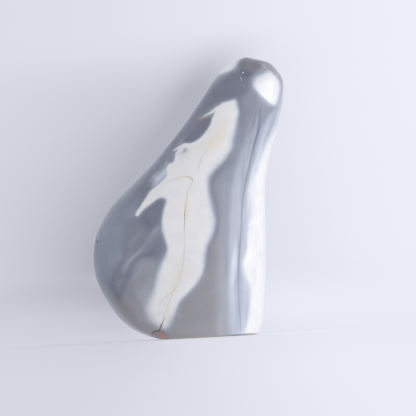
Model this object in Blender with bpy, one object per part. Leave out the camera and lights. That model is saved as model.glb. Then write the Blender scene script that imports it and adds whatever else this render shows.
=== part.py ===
"""A polished agate freeform that stands on its sawn base.

The stone was ground by hand to one rounded, leaning body: a broad belly low on
the left, a neck that leans to the right and a blunt head. Its foot was then
sawn off flat, which is what it stands on, and the sharp rim was eased.

Frame: metres, +Z up, +X to the right seen from the front, -Y towards the
viewer. The origin is under the middle of the stone's bounding box, on the base.
"""

import math

import bmesh
import bpy

MM = 0.001

# Driving sizes, in millimetres
HEIGHT = 120.0        # sawn base to the top of the head
UNCUT_FOOT = -20.0    # where the ground body ended before the foot was sawn off
EASED_RIM = 0.45      # width of the eased rim round the base
RINGS = 60            # horizontal rings up the body
SEGMENTS = 68         # points in each ring
UNDULATION = 0.22     # hand-ground unevenness, crest height
DEPTH_SHIFT = -1.11   # moves the body along Y so that its box is centred on the origin

# Outline seen from the front: height, left edge, right edge
OUTLINE = (
    (-20.0, 13.0, 13.0),
    (-17.0, 8.5, 19.5),
    (-12.0, 4.5, 23.6),
    (-7.0, 0.0, 25.4),
    (-3.0, -7.2, 26.2),
    (0.0, -15.4, 26.8),
    (1.2, -19.0, 27.1),
    (3.0, -23.6, 27.7),
    (6.0, -28.6, 28.35),
    (10.0, -32.8, 28.9),
    (16.0, -36.9, 29.6),
    (25.0, -41.2, 30.5),
    (35.0, -43.0, 31.1),
    (45.0, -41.6, 31.6),
    (50.0, -39.6, 31.8),
    (55.0, -36.7, 32.0),
    (60.0, -32.8, 32.3),
    (65.0, -27.6, 32.8),
    (70.0, -22.0, 33.6),
    (75.0, -16.5, 34.8),
    (85.0, -6.9, 38.0),
    (95.0, 1.5, 41.0),
    (101.0, 6.1, 42.4),
    (106.0, 9.8, 43.0),
    (110.5, 13.1, 42.5),
    (113.0, 15.4, 41.1),
    (115.0, 17.4, 39.8),
    (116.5, 19.3, 38.5),
    (117.6, 21.3, 36.9),
    (118.5, 23.0, 34.2),
    (119.3, 25.0, 31.2),
    (120.0, 28.0, 28.0),
)

# Thickness: height, front swell, back swell, where the outline edge sits in depth
THICKNESS = (
    (-20.0, 0.0, 0.0, 0.0),
    (-17.0, 10.6, 10.0, 0.0),
    (-12.0, 16.9, 16.0, 0.0),
    (-7.0, 19.8, 18.6, 0.0),
    (0.0, 21.5, 20.6, 0.0),
    (10.0, 22.3, 22.4, 0.0),
    (25.0, 22.8, 24.2, 0.2),
    (42.0, 22.8, 24.4, 0.4),
    (55.0, 21.8, 22.8, 0.6),
    (70.0, 19.4, 19.6, 1.0),
    (85.0, 17.0, 16.8, 1.5),
    (100.0, 15.4, 15.0, 2.0),
    (108.0, 13.6, 13.4, 2.2),
    (113.0, 11.2, 11.2, 2.3),
    (117.0, 7.4, 7.4, 2.4),
    (119.2, 3.4, 3.4, 2.4),
    (120.0, 0.0, 0.0, 2.4),
)

# Where the swell is highest, as a share of the width from the left edge:
# height, front crest, back crest
CREST = (
    (-20.0, 0.50, 0.50),
    (0.0, 0.60, 0.50),
    (20.0, 0.64, 0.47),
    (42.0, 0.66, 0.45),
    (60.0, 0.63, 0.46),
    (80.0, 0.56, 0.48),
    (100.0, 0.51, 0.50),
    (120.0, 0.50, 0.50),
)

# Fullness of the four quarters of a ring (2 is an ellipse, more is squarer):
# height, front left, front right, back right, back left
FULLNESS = (
    (-20.0, 2.40, 2.40, 2.40, 2.40),
    (0.0, 2.60, 2.55, 2.55, 2.60),
    (18.0, 2.25, 2.40, 2.40, 2.30),
    (45.0, 2.08, 2.35, 2.35, 2.15),
    (80.0, 2.10, 2.25, 2.25, 2.15),
    (120.0, 2.00, 2.00, 2.00, 2.00),
)


def natural_spline(xs, ys):
    """The natural cubic spline through the points, as a function."""
    n = len(xs)
    h = [xs[i + 1] - xs[i] for i in range(n - 1)]
    m = [0.0] * n
    c, d = [0.0] * n, [0.0] * n
    for i in range(1, n - 1):
        a = h[i - 1]
        b = 2 * (h[i - 1] + h[i])
        r = 6 * ((ys[i + 1] - ys[i]) / h[i] - (ys[i] - ys[i - 1]) / h[i - 1])
        w = b - a * c[i - 1]
        c[i] = h[i] / w
        d[i] = (r - a * d[i - 1]) / w
    for i in range(n - 2, 0, -1):
        m[i] = d[i] - c[i] * m[i + 1]

    def value(x):
        x = min(max(x, xs[0]), xs[-1])
        i = 0
        while i < n - 2 and x > xs[i + 1]:
            i += 1
        t0, t1 = xs[i + 1] - x, x - xs[i]
        return (
            (m[i] * t0**3 + m[i + 1] * t1**3) / (6 * h[i])
            + (ys[i] / h[i] - m[i] * h[i] / 6) * t0
            + (ys[i + 1] / h[i] - m[i + 1] * h[i] / 6) * t1
        )

    return value


MIDDLE = (HEIGHT + UNCUT_FOOT) / 2
REACH = (HEIGHT - UNCUT_FOOT) / 2


def latitude(z):
    """Height as an angle, -90 degrees at the foot and +90 at the crown."""
    return math.asin(min(1.0, max(-1.0, (z - MIDDLE) / REACH)))


def along_height(table, column):
    return natural_spline([latitude(r[0]) for r in table], [r[column] for r in table])


left_edge = along_height(OUTLINE, 1)
right_edge = along_height(OUTLINE, 2)
front_swell = along_height(THICKNESS, 1)
back_swell = along_height(THICKNESS, 2)
edge_depth = along_height(THICKNESS, 3)
front_crest = along_height(CREST, 1)
back_crest = along_height(CREST, 2)
fullness = [along_height(FULLNESS, i) for i in (1, 2, 3, 4)]


def power(v, n):
    return math.copysign(abs(v) ** (2.0 / n), v)


def ring(lat, count):
    """One horizontal ring of the body, anticlockwise seen from above, starting at the right edge."""
    z = MIDDLE + REACH * math.sin(lat)
    xl, xr = left_edge(lat), right_edge(lat)
    width = xr - xl
    fc = xl + width * front_crest(lat)
    bc = xl + width * back_crest(lat)
    yf, yb, y0 = front_swell(lat), back_swell(lat), edge_depth(lat)
    full_fl, full_fr, full_br, full_bl = [f(lat) for f in fullness]
    found = []
    for k in range(count):
        a = 2 * math.pi * k / count
        c, s = math.cos(a), math.sin(a)
        back = s >= 0
        right = c >= 0
        if back:
            n = full_br if right else full_bl
            crest, deep = bc, yb
        else:
            n = full_fr if right else full_fl
            crest, deep = fc, yf
        u, v = power(c, n), power(s, n)
        x = crest + u * ((xr - crest) if right else (crest - xl))
        y = y0 + v * deep
        found.append([x, y, z])
    return found


def fair(points, rounds):
    """Evens out the joints between the four quarters, then puts the outline back."""
    n = len(points)
    lo, hi = min(p[0] for p in points), max(p[0] for p in points)
    near, far = min(p[1] for p in points), max(p[1] for p in points)
    for _ in range(rounds):
        points = [
            [
                (points[i - 1][j] + 2 * points[i][j] + points[(i + 1) % n][j]) / 4
                for j in range(3)
            ]
            for i in range(n)
        ]
    lo2, hi2 = min(p[0] for p in points), max(p[0] for p in points)
    near2, far2 = min(p[1] for p in points), max(p[1] for p in points)
    for p in points:
        if hi2 - lo2 > 1e-6:
            p[0] = lo + (p[0] - lo2) * (hi - lo) / (hi2 - lo2)
        if far2 - near2 > 1e-6:
            p[1] = near + (p[1] - near2) * (far - near) / (far2 - near2)
    return points


def unevenness(x, y, z):
    """The slow waviness that grinding by hand leaves, in millimetres."""
    return UNDULATION * (
        0.45 * math.sin(0.21 * z + 0.9 + 0.05 * x)
        + 0.35 * math.sin(0.17 * x - 0.12 * z + 0.14 * y + 2.0)
        + 0.30 * math.sin(0.33 * z - 0.16 * x + 0.20 * y + 4.1)
    )


def build_stone():
    bm = bmesh.new()
    rows = []
    for i in range(1, RINGS):
        lat = -math.pi / 2 + math.pi * i / RINGS
        points = fair(ring(lat, SEGMENTS), 6)
        cx = sum(p[0] for p in points) / SEGMENTS
        cy = sum(p[1] for p in points) / SEGMENTS
        row = []
        for x, y, z in points:
            dx, dy = x - cx, y - cy
            r = math.hypot(dx, dy) or 1.0
            # The side profile seen from the front stays as stated: the waviness
            # works on the depth of the surface.
            w = unevenness(x, y, z) * math.cos(lat)
            y += w * dy / r + DEPTH_SHIFT
            row.append(bm.verts.new((x * MM, y * MM, z * MM)))
        rows.append(row)
    foot_y, crown_y = THICKNESS[0][3] + DEPTH_SHIFT, THICKNESS[-1][3] + DEPTH_SHIFT
    foot = bm.verts.new((OUTLINE[0][1] * MM, foot_y * MM, UNCUT_FOOT * MM))
    crown = bm.verts.new((OUTLINE[-1][1] * MM, crown_y * MM, HEIGHT * MM))
    for a, b in zip(rows, rows[1:]):
        for k in range(SEGMENTS):
            j = (k + 1) % SEGMENTS
            bm.faces.new((a[k], a[j], b[j], b[k]))
    for k in range(SEGMENTS):
        j = (k + 1) % SEGMENTS
        bm.faces.new((rows[0][j], rows[0][k], foot))
        bm.faces.new((rows[-1][k], rows[-1][j], crown))

    # Saw the foot off flat at z = 0 and close the cut
    bmesh.ops.bisect_plane(
        bm,
        geom=bm.verts[:] + bm.edges[:] + bm.faces[:],
        dist=1e-6,
        plane_co=(0, 0, 0),
        plane_no=(0, 0, 1),
        clear_inner=True,
        clear_outer=False,
    )
    rim = [e for e in bm.edges if e.is_boundary]
    bmesh.ops.contextual_create(bm, geom=rim)
    # Points closer than a fifth of a millimetre at the rim are merged
    bmesh.ops.remove_doubles(bm, verts=[v for v in bm.verts if v.co.z < 1.5 * MM], dist=0.2 * MM)

    # Ease the rim
    base = [f for f in bm.faces if all(v.co.z < 1e-6 for v in f.verts)]
    rim = [e for f in base for e in f.edges]
    bmesh.ops.bevel(
        bm,
        geom=list(set(rim)),
        offset=EASED_RIM * MM,
        offset_type="OFFSET",
        segments=2,
        profile=0.5,
        affect="EDGES",
        clamp_overlap=True,
    )
    bmesh.ops.recalc_face_normals(bm, faces=bm.faces[:])
    mesh = bpy.data.meshes.new("agate_freeform")
    bm.to_mesh(mesh)
    bm.free()
    mesh.shade_smooth()
    mesh.set_sharp_from_angle(angle=math.radians(35))
    return mesh


def agate():
    m = bpy.data.materials.new("polished_agate")
    m.use_nodes = True
    b = m.node_tree.nodes["Principled BSDF"]
    b.inputs["Base Color"].default_value = (0.33, 0.34, 0.39, 1)
    b.inputs["Roughness"].default_value = 0.12
    b.inputs["Metallic"].default_value = 0.0
    return m


def main():
    for o in list(bpy.data.objects):
        bpy.data.objects.remove(o)
    mesh = build_stone()
    mesh.materials.append(agate())
    stone = bpy.data.objects.new("agate_freeform", mesh)
    bpy.context.scene.collection.objects.link(stone)


main()
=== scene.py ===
"""The looks of a polished agate freeform that stands on its sawn base.

The stone is one fine mesh, lofted from the same rings as the CAD solid. Its
markings are drawn as lines on two sheets, one for the front and one for the
back. Each drawn line is turned into a field on the mesh (a signed distance, a
softness or a strength), and the material's nodes turn those fields, with noise
of their own, into colour, roughness and bump.
"""

import math

import bmesh
import bpy
import numpy as np
from mathutils import Matrix, Vector


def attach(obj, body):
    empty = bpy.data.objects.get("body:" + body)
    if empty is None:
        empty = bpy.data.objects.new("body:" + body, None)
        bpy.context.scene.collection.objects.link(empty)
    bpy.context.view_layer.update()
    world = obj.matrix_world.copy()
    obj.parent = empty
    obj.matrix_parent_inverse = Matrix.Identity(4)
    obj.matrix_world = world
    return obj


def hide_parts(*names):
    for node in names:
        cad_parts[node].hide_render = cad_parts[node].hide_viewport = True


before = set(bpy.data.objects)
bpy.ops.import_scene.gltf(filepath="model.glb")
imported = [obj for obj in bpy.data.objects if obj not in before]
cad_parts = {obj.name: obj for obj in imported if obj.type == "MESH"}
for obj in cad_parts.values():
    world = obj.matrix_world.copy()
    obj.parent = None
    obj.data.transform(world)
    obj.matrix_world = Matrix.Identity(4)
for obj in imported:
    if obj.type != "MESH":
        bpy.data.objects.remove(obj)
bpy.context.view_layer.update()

MM = 0.001

# --------------------------------------------------------------------------
# The camera, and the sheet that the markings are drawn on
# --------------------------------------------------------------------------

FRAME_PX = 416            # side of the square picture
PX_MM = 0.43335           # one picture unit on the plane y = 0, in millimetres
ROLL = math.radians(3.2)  # the sawn base rises to the right by this much
CAMERA_MM = 5000.0        # from the camera to the plane y = 0
AIM_X, AIM_Z = 7.832, 55.72   # what the middle of the picture looks at
COS, SIN = math.cos(ROLL), math.sin(ROLL)


def to_sheet(x, y, z):
    """Where points of the stone, in millimetres, fall on the drawing sheet. The sheet is
    the plane y = 0 and its unit is PX_MM; the back is drawn through the stone."""
    grow = CAMERA_MM / (CAMERA_MM - np.abs(y))
    u = AIM_X + (x - AIM_X) * grow
    w = AIM_Z + (z - AIM_Z) * grow
    a, b = (u - AIM_X) / PX_MM, (w - AIM_Z) / PX_MM
    half = FRAME_PX / 2
    return half + a * COS - b * SIN, half - a * SIN - b * COS


# --------------------------------------------------------------------------
# The stone's form: the CAD solid's own rings, sampled more finely
# --------------------------------------------------------------------------

HEIGHT = 120.0
UNCUT_FOOT = -20.0
EASED_RIM = 0.45
CAD_SEGMENTS = 68
UNDULATION = 0.22
DEPTH_SHIFT = -1.11
WIDER_LEFT, WIDER_RIGHT, WIDER_BELLY = 0.16, 0.42, 0.14   # how far the polished skin stands outside the CAD rings
ROWS = 290                # rings from the base to the crown
COLUMNS = 302             # points in a ring, closer together on the front

OUTLINE = (
    (-20.0, 13.0, 13.0),
    (-17.0, 8.5, 19.5),
    (-12.0, 4.5, 23.6),
    (-7.0, 0.0, 25.4),
    (-3.0, -7.2, 26.2),
    (0.0, -15.4, 26.8),
    (1.2, -19.0, 27.1),
    (3.0, -23.6, 27.7),
    (6.0, -28.6, 28.35),
    (10.0, -32.8, 28.9),
    (16.0, -36.9, 29.6),
    (25.0, -41.2, 30.5),
    (35.0, -43.0, 31.1),
    (45.0, -41.6, 31.6),
    (50.0, -39.6, 31.8),
    (55.0, -36.7, 32.0),
    (60.0, -32.8, 32.3),
    (65.0, -27.6, 32.8),
    (70.0, -22.0, 33.6),
    (75.0, -16.5, 34.8),
    (85.0, -6.9, 38.0),
    (95.0, 1.5, 41.0),
    (101.0, 6.1, 42.4),
    (106.0, 9.8, 43.0),
    (110.5, 13.1, 42.5),
    (113.0, 15.4, 41.1),
    (115.0, 17.4, 39.8),
    (116.5, 19.3, 38.5),
    (117.6, 21.3, 36.9),
    (118.5, 23.0, 34.2),
    (119.3, 25.0, 31.2),
    (120.0, 28.0, 28.0),
)
THICKNESS = (
    (-20.0, 0.0, 0.0, 0.0),
    (-17.0, 10.6, 10.0, 0.0),
    (-12.0, 16.9, 16.0, 0.0),
    (-7.0, 19.8, 18.6, 0.0),
    (0.0, 21.5, 20.6, 0.0),
    (10.0, 22.3, 22.4, 0.0),
    (25.0, 22.8, 24.2, 0.2),
    (42.0, 22.8, 24.4, 0.4),
    (55.0, 21.8, 22.8, 0.6),
    (70.0, 19.4, 19.6, 1.0),
    (85.0, 17.0, 16.8, 1.5),
    (100.0, 15.4, 15.0, 2.0),
    (108.0, 13.6, 13.4, 2.2),
    (113.0, 11.2, 11.2, 2.3),
    (117.0, 7.4, 7.4, 2.4),
    (119.2, 3.4, 3.4, 2.4),
    (120.0, 0.0, 0.0, 2.4),
)
CREST = (
    (-20.0, 0.50, 0.50),
    (0.0, 0.60, 0.50),
    (20.0, 0.64, 0.47),
    (42.0, 0.66, 0.45),
    (60.0, 0.63, 0.46),
    (80.0, 0.56, 0.48),
    (100.0, 0.51, 0.50),
    (120.0, 0.50, 0.50),
)
FULLNESS = (
    (-20.0, 2.40, 2.40, 2.40, 2.40),
    (0.0, 2.60, 2.55, 2.55, 2.60),
    (18.0, 2.25, 2.40, 2.40, 2.30),
    (45.0, 2.08, 2.35, 2.35, 2.15),
    (80.0, 2.10, 2.25, 2.25, 2.15),
    (120.0, 2.00, 2.00, 2.00, 2.00),
)
MIDDLE = (HEIGHT + UNCUT_FOOT) / 2
REACH = (HEIGHT - UNCUT_FOOT) / 2


def natural_spline(xs, ys):
    """The natural cubic spline through the points, as a function of an array."""
    xs, ys = np.asarray(xs, float), np.asarray(ys, float)
    n = len(xs)
    h = np.diff(xs)
    m, c, d = np.zeros(n), np.zeros(n), np.zeros(n)
    for i in range(1, n - 1):
        r = 6 * ((ys[i + 1] - ys[i]) / h[i] - (ys[i] - ys[i - 1]) / h[i - 1])
        w = 2 * (h[i - 1] + h[i]) - h[i - 1] * c[i - 1]
        c[i] = h[i] / w
        d[i] = (r - h[i - 1] * d[i - 1]) / w
    for i in range(n - 2, 0, -1):
        m[i] = d[i] - c[i] * m[i + 1]

    def value(x):
        x = np.clip(np.asarray(x, float), xs[0], xs[-1])
        i = np.clip(np.searchsorted(xs, x, side="left") - 1, 0, n - 2)
        t0, t1, hi = xs[i + 1] - x, x - xs[i], h[i]
        return (
            (m[i] * t0**3 + m[i + 1] * t1**3) / (6 * hi)
            + (ys[i] / hi - m[i] * hi / 6) * t0
            + (ys[i + 1] / hi - m[i + 1] * hi / 6) * t1
        )

    return value


def latitude(z):
    return np.arcsin(np.clip((np.asarray(z, float) - MIDDLE) / REACH, -1, 1))


def along_height(table, column):
    return natural_spline(latitude([r[0] for r in table]), [r[column] for r in table])


left_edge = along_height(OUTLINE, 1)
right_edge = along_height(OUTLINE, 2)
front_swell = along_height(THICKNESS, 1)
back_swell = along_height(THICKNESS, 2)
edge_depth = along_height(THICKNESS, 3)
front_crest = along_height(CREST, 1)
back_crest = along_height(CREST, 2)
fullness = [along_height(FULLNESS, i) for i in (1, 2, 3, 4)]


def rings(lats):
    """The CAD's own rings at these latitudes: an array of rows, points and x, y in millimetres."""
    a = 2 * np.pi * np.arange(CAD_SEGMENTS) / CAD_SEGMENTS
    c, s = np.cos(a)[None, :], np.sin(a)[None, :]
    back, right = s >= 0, c >= 0
    xl, xr = left_edge(lats)[:, None], right_edge(lats)[:, None]
    fc = xl + (xr - xl) * front_crest(lats)[:, None]
    bc = xl + (xr - xl) * back_crest(lats)[:, None]
    yf, yb = front_swell(lats)[:, None], back_swell(lats)[:, None]
    y0 = edge_depth(lats)[:, None]
    fl, fr, br, bl = [f(lats)[:, None] for f in fullness]
    n = np.where(back, np.where(right, br, bl), np.where(right, fr, fl))
    crest, deep = np.where(back, bc, fc), np.where(back, yb, yf)
    u = np.copysign(np.abs(c) ** (2.0 / n), c)
    v = np.copysign(np.abs(s) ** (2.0 / n), s)
    found = np.stack([crest + u * np.where(right, xr - crest, crest - xl), y0 + v * deep], 2)
    lo, hi = found.min(1, keepdims=True), found.max(1, keepdims=True)
    for _ in range(6):
        found = (np.roll(found, 1, 1) + 2 * found + np.roll(found, -1, 1)) / 4
    lo2, hi2 = found.min(1, keepdims=True), found.max(1, keepdims=True)
    span = np.maximum(hi2 - lo2, 1e-9)
    return lo + (found - lo2) * (hi - lo) / span


def between(found, angles):
    """Reads the rings at any angle, by their Fourier series, so that the fine points lie on smooth curves through the CAD's."""
    n = found.shape[1]
    k = np.fft.fftfreq(n, 1.0 / n)
    series = np.fft.fft(found, axis=1) / n
    return np.real(np.einsum("rkc,ka->rac", series, np.exp(1j * np.outer(k, angles))))


def unevenness(x, y, z):
    return UNDULATION * (
        0.45 * np.sin(0.21 * z + 0.9 + 0.05 * x)
        + 0.35 * np.sin(0.17 * x - 0.12 * z + 0.14 * y + 2.0)
        + 0.30 * np.sin(0.33 * z - 0.16 * x + 0.20 * y + 4.1)
    )


def wall(lats, angles):
    """Points of the stone's side at these latitudes and ring angles, in millimetres: rows, columns, xyz."""
    coarse = rings(lats)
    middle = coarse.mean(1, keepdims=True)
    xy = between(coarse, angles)
    z = np.broadcast_to((MIDDLE + REACH * np.sin(lats))[:, None], xy.shape[:2])
    d = xy - middle
    r = np.maximum(np.hypot(d[..., 0], d[..., 1]), 1e-9)
    w = unevenness(xy[..., 0], xy[..., 1], z) * np.cos(lats)[:, None]
    return np.stack([xy[..., 0], xy[..., 1] + w * d[..., 1] / r + DEPTH_SHIFT, z], 2)


def widened(grid):
    """The same rings with their left and right edges a few tenths of a millimetre further out, least at the crown."""
    x, z = grid[..., 0], grid[..., 2]
    low, high = x.min(1, keepdims=True), x.max(1, keepdims=True)
    t = (2 * x - low - high) / (high - low)
    belly = 1 - smooth(45, 75, z)
    out = (WIDER_LEFT + WIDER_RIGHT + WIDER_BELLY * belly) / 2 * t + (WIDER_RIGHT - WIDER_LEFT - WIDER_BELLY * belly) / 2 * t * t
    made = grid.copy()
    made[..., 0] = x + out * (1 - smooth(112, 119, z))
    return made


def stone_points():
    """The whole skin: rings from the middle of the sawn base, over the eased rim and up to the crown.
    Returns the points in millimetres, the four-sided faces and the three-sided ones."""
    t = 2 * np.pi * np.arange(COLUMNS) / COLUMNS
    angles = t - 0.25 * np.cos(t)
    lat0 = float(latitude(EASED_RIM))
    share = np.linspace(0, 1, ROWS + 1)[:-1]
    lats = lat0 + (math.pi / 2 - lat0) * share
    side = wall(lats, angles)
    rows = []
    for turn in (15, 30, 45, 60, 75, 90):   # the rim turns under, from upright to flat
        z = EASED_RIM * (1 - math.sin(math.radians(turn)))
        inset = EASED_RIM * (1 - math.cos(math.radians(turn)))
        ring = wall(np.array([float(latitude(z))]), angles)[0].copy()
        along = (np.roll(ring, -1, 0) - np.roll(ring, 1, 0))[:, :2]
        along /= np.linalg.norm(along, axis=1, keepdims=True)
        ring[:, 0] -= along[:, 1] * inset
        ring[:, 1] += along[:, 0] * inset
        ring[:, 2] = z
        rows.append(ring)
    edge = rows[-1]
    middle = edge.mean(0)
    cap = [middle + (edge - middle) * f for f in (0.98, 0.94, 0.88, 0.8, 0.7, 0.58, 0.45, 0.32, 0.2, 0.1, 0.04)]
    below = (rows + cap)[::-1]
    grid = widened(np.concatenate([np.array(below), side], 0))
    n_rows = len(grid)
    points = grid.reshape(-1, 3)
    crown = np.array([[OUTLINE[-1][1], THICKNESS[-1][3] + DEPTH_SHIFT, HEIGHT]])
    points = np.concatenate([points, middle[None, :], crown], 0)
    base_i, crown_i = len(points) - 2, len(points) - 1
    k = np.arange(COLUMNS)
    j = (k + 1) % COLUMNS
    quads = []
    for r in range(n_rows - 1):
        a, b = r * COLUMNS, (r + 1) * COLUMNS
        quads.append(np.stack([a + k, a + j, b + j, b + k], 1))
    quads = np.concatenate(quads, 0)
    last = (n_rows - 1) * COLUMNS
    triangles = np.concatenate(
        [
            np.stack([j, k, np.full(COLUMNS, base_i)], 1),
            np.stack([last + k, last + j, np.full(COLUMNS, crown_i)], 1),
        ],
        0,
    )
    return points, quads, triangles


# --------------------------------------------------------------------------
# Drawn lines and their fields
# --------------------------------------------------------------------------


def curve_through(points, closed, steps=7):
    """A Catmull-Rom curve through the drawn points. Every column past the first two, such as softness, is carried along."""
    p = np.asarray(points, float)
    n = len(p)
    out = []
    spans = n if closed else n - 1
    for i in range(spans):
        if closed:
            p0, p1, p2, p3 = p[i - 1], p[i], p[(i + 1) % n], p[(i + 2) % n]
        else:
            p1, p2 = p[i], p[i + 1]
            p0 = p[i - 1] if i else 2 * p1 - p2
            p3 = p[i + 2] if i + 2 < n else 2 * p2 - p1
        for k in range(steps):
            t = k / steps
            q = 0.5 * (
                2 * p1
                + (p2 - p0) * t
                + (2 * p0 - 5 * p1 + 4 * p2 - p3) * t * t
                + (3 * p1 - p0 - 3 * p2 + p3) * t**3
            )
            q[2:] = p1[2:] + (p2[2:] - p1[2:]) * t
            out.append(q)
    if not closed:
        out.append(p[-1])
    return np.array(out)


def nearest_on(line, closed, pu, pv):
    """For each sheet point: its distance to the line, the side it is on (+1 is left of the way the line runs), the carried columns there, and how far it is past an open line's end."""
    n = len(line)
    best = np.full(pu.shape, 1e9)
    side = np.ones(pu.shape)
    carried = np.zeros(pu.shape + (line.shape[1] - 2,))
    past = np.zeros(pu.shape)
    spans = n if closed else n - 1
    for i in range(spans):
        a, b = line[i], line[(i + 1) % n]
        dx, dy = b[0] - a[0], b[1] - a[1]
        length2 = dx * dx + dy * dy
        if length2 < 1e-12:
            continue
        px, py = pu - a[0], pv - a[1]
        along = (px * dx + py * dy) / length2
        t = np.clip(along, 0, 1)
        ex, ey = px - t * dx, py - t * dy
        d2 = ex * ex + ey * ey
        closer = d2 < best
        if not closer.any():
            continue
        best[closer] = d2[closer]
        cross = dx * py - dy * px
        side[closer] = np.where(cross[closer] >= 0, 1.0, -1.0)
        tc = t[closer][:, None]
        carried[closer] = a[2:] * (1 - tc) + b[2:] * tc
        if not closed:
            over = np.zeros(pu.shape)
            if i == 0:
                over = np.maximum(over, -along * math.sqrt(length2))
            if i == spans - 1:
                over = np.maximum(over, (along - 1) * math.sqrt(length2))
            past[closer] = np.maximum(over[closer], 0)
    return np.sqrt(best), side, carried, past


def inside(line, pu, pv):
    """Whether each sheet point is inside the closed line, by counting crossings."""
    odd = np.zeros(pu.shape, bool)
    n = len(line)
    for i in range(n):
        x1, y1 = line[i][0], line[i][1]
        x2, y2 = line[(i + 1) % n][0], line[(i + 1) % n][1]
        if y1 == y2:
            continue
        crosses = (y1 > pv) != (y2 > pv)
        at = (x2 - x1) * (pv - y1) / (y2 - y1) + x1
        odd ^= crosses & (pu < at)
    return odd


class Sheet:
    """One side's drawing, read at the sheet points of the mesh."""

    def __init__(self, pu, pv):
        self.pu, self.pv = pu, pv

    def near(self, points, reach):
        xs = [p[0] for p in points]
        ys = [p[1] for p in points]
        return (
            (self.pu > min(xs) - reach)
            & (self.pu < max(xs) + reach)
            & (self.pv > min(ys) - reach)
            & (self.pv < max(ys) + reach)
        )

    def zones(self, drawn, reach=36.0):
        """The union of closed outlines of (u, v, softness in mm). Returns signed distance in mm, inside positive, and softness in mm."""
        total = np.full(self.pu.shape, -reach * PX_MM)
        soft = np.full(self.pu.shape, 1.0)
        for points in drawn:
            m = self.near(points, reach)
            line = curve_through(points, True)
            d, _, carried, _ = nearest_on(line, True, self.pu[m], self.pv[m])
            sign = np.where(inside(line, self.pu[m], self.pv[m]), 1.0, -1.0)
            signed = d * sign * PX_MM
            was, was_soft = total[m], soft[m]
            better = signed / carried[:, 0] > was / was_soft
            was[better], was_soft[better] = signed[better], carried[better, 0]
            total[m], soft[m] = was, was_soft
        return total, soft

    def strokes(self, drawn):
        """Soft brush strokes of (u, v, width in mm, strength). Strengths add up."""
        total = np.zeros(self.pu.shape)
        for points in drawn:
            reach = 3 * max(p[2] for p in points) / PX_MM
            m = self.near(points, reach)
            if not m.any():
                continue
            if len(points) == 1:
                u, v, width, strength = points[0]
                d = np.hypot(self.pu[m] - u, self.pv[m] - v) * PX_MM
            else:
                line = curve_through(points, False, 5)
                d, _, carried, _ = nearest_on(line, False, self.pu[m], self.pv[m])
                d, width, strength = d * PX_MM, carried[:, 0], carried[:, 1]
            total[m] += strength * np.exp(-((d / width) ** 2))
        return total

    def washes(self, drawn):
        """Soft-edged areas, each a strength and a closed outline of (u, v, softness in mm). Strengths add up."""
        total = np.zeros(self.pu.shape)
        for strength, points in drawn:
            m = self.near(points, 1.2 * max(p[2] for p in points) / PX_MM)
            if not m.any():
                continue
            line = curve_through(points, True, 5)
            d, _, carried, _ = nearest_on(line, True, self.pu[m], self.pv[m])
            sign = np.where(inside(line, self.pu[m], self.pv[m]), 1.0, -1.0)
            total[m] += strength * smooth(-1, 1, d * sign * PX_MM / carried[:, 0])
        return total

    def fracture(self, points, reach=14.0):
        """An open line of (u, v, width in mm, strength). Returns the signed distance in mm, the half width in mm and the strength, which is nothing away from the line."""
        signed = np.full(self.pu.shape, reach * PX_MM)
        width = np.full(self.pu.shape, 0.1)
        strength = np.zeros(self.pu.shape)
        m = self.near(points, reach)
        if m.any():
            line = curve_through(points, False, 5)
            d, side, carried, past = nearest_on(line, False, self.pu[m], self.pv[m])
            fade = np.clip(1 - past / 1.2, 0, 1) * np.clip((reach - d) / (0.3 * reach), 0, 1)
            signed[m] = d * side * PX_MM
            width[m] = carried[:, 0]
            strength[m] = carried[:, 1] * fade
        return signed, width, strength


# --- the front's drawing ---------------------------------------------------

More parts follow.
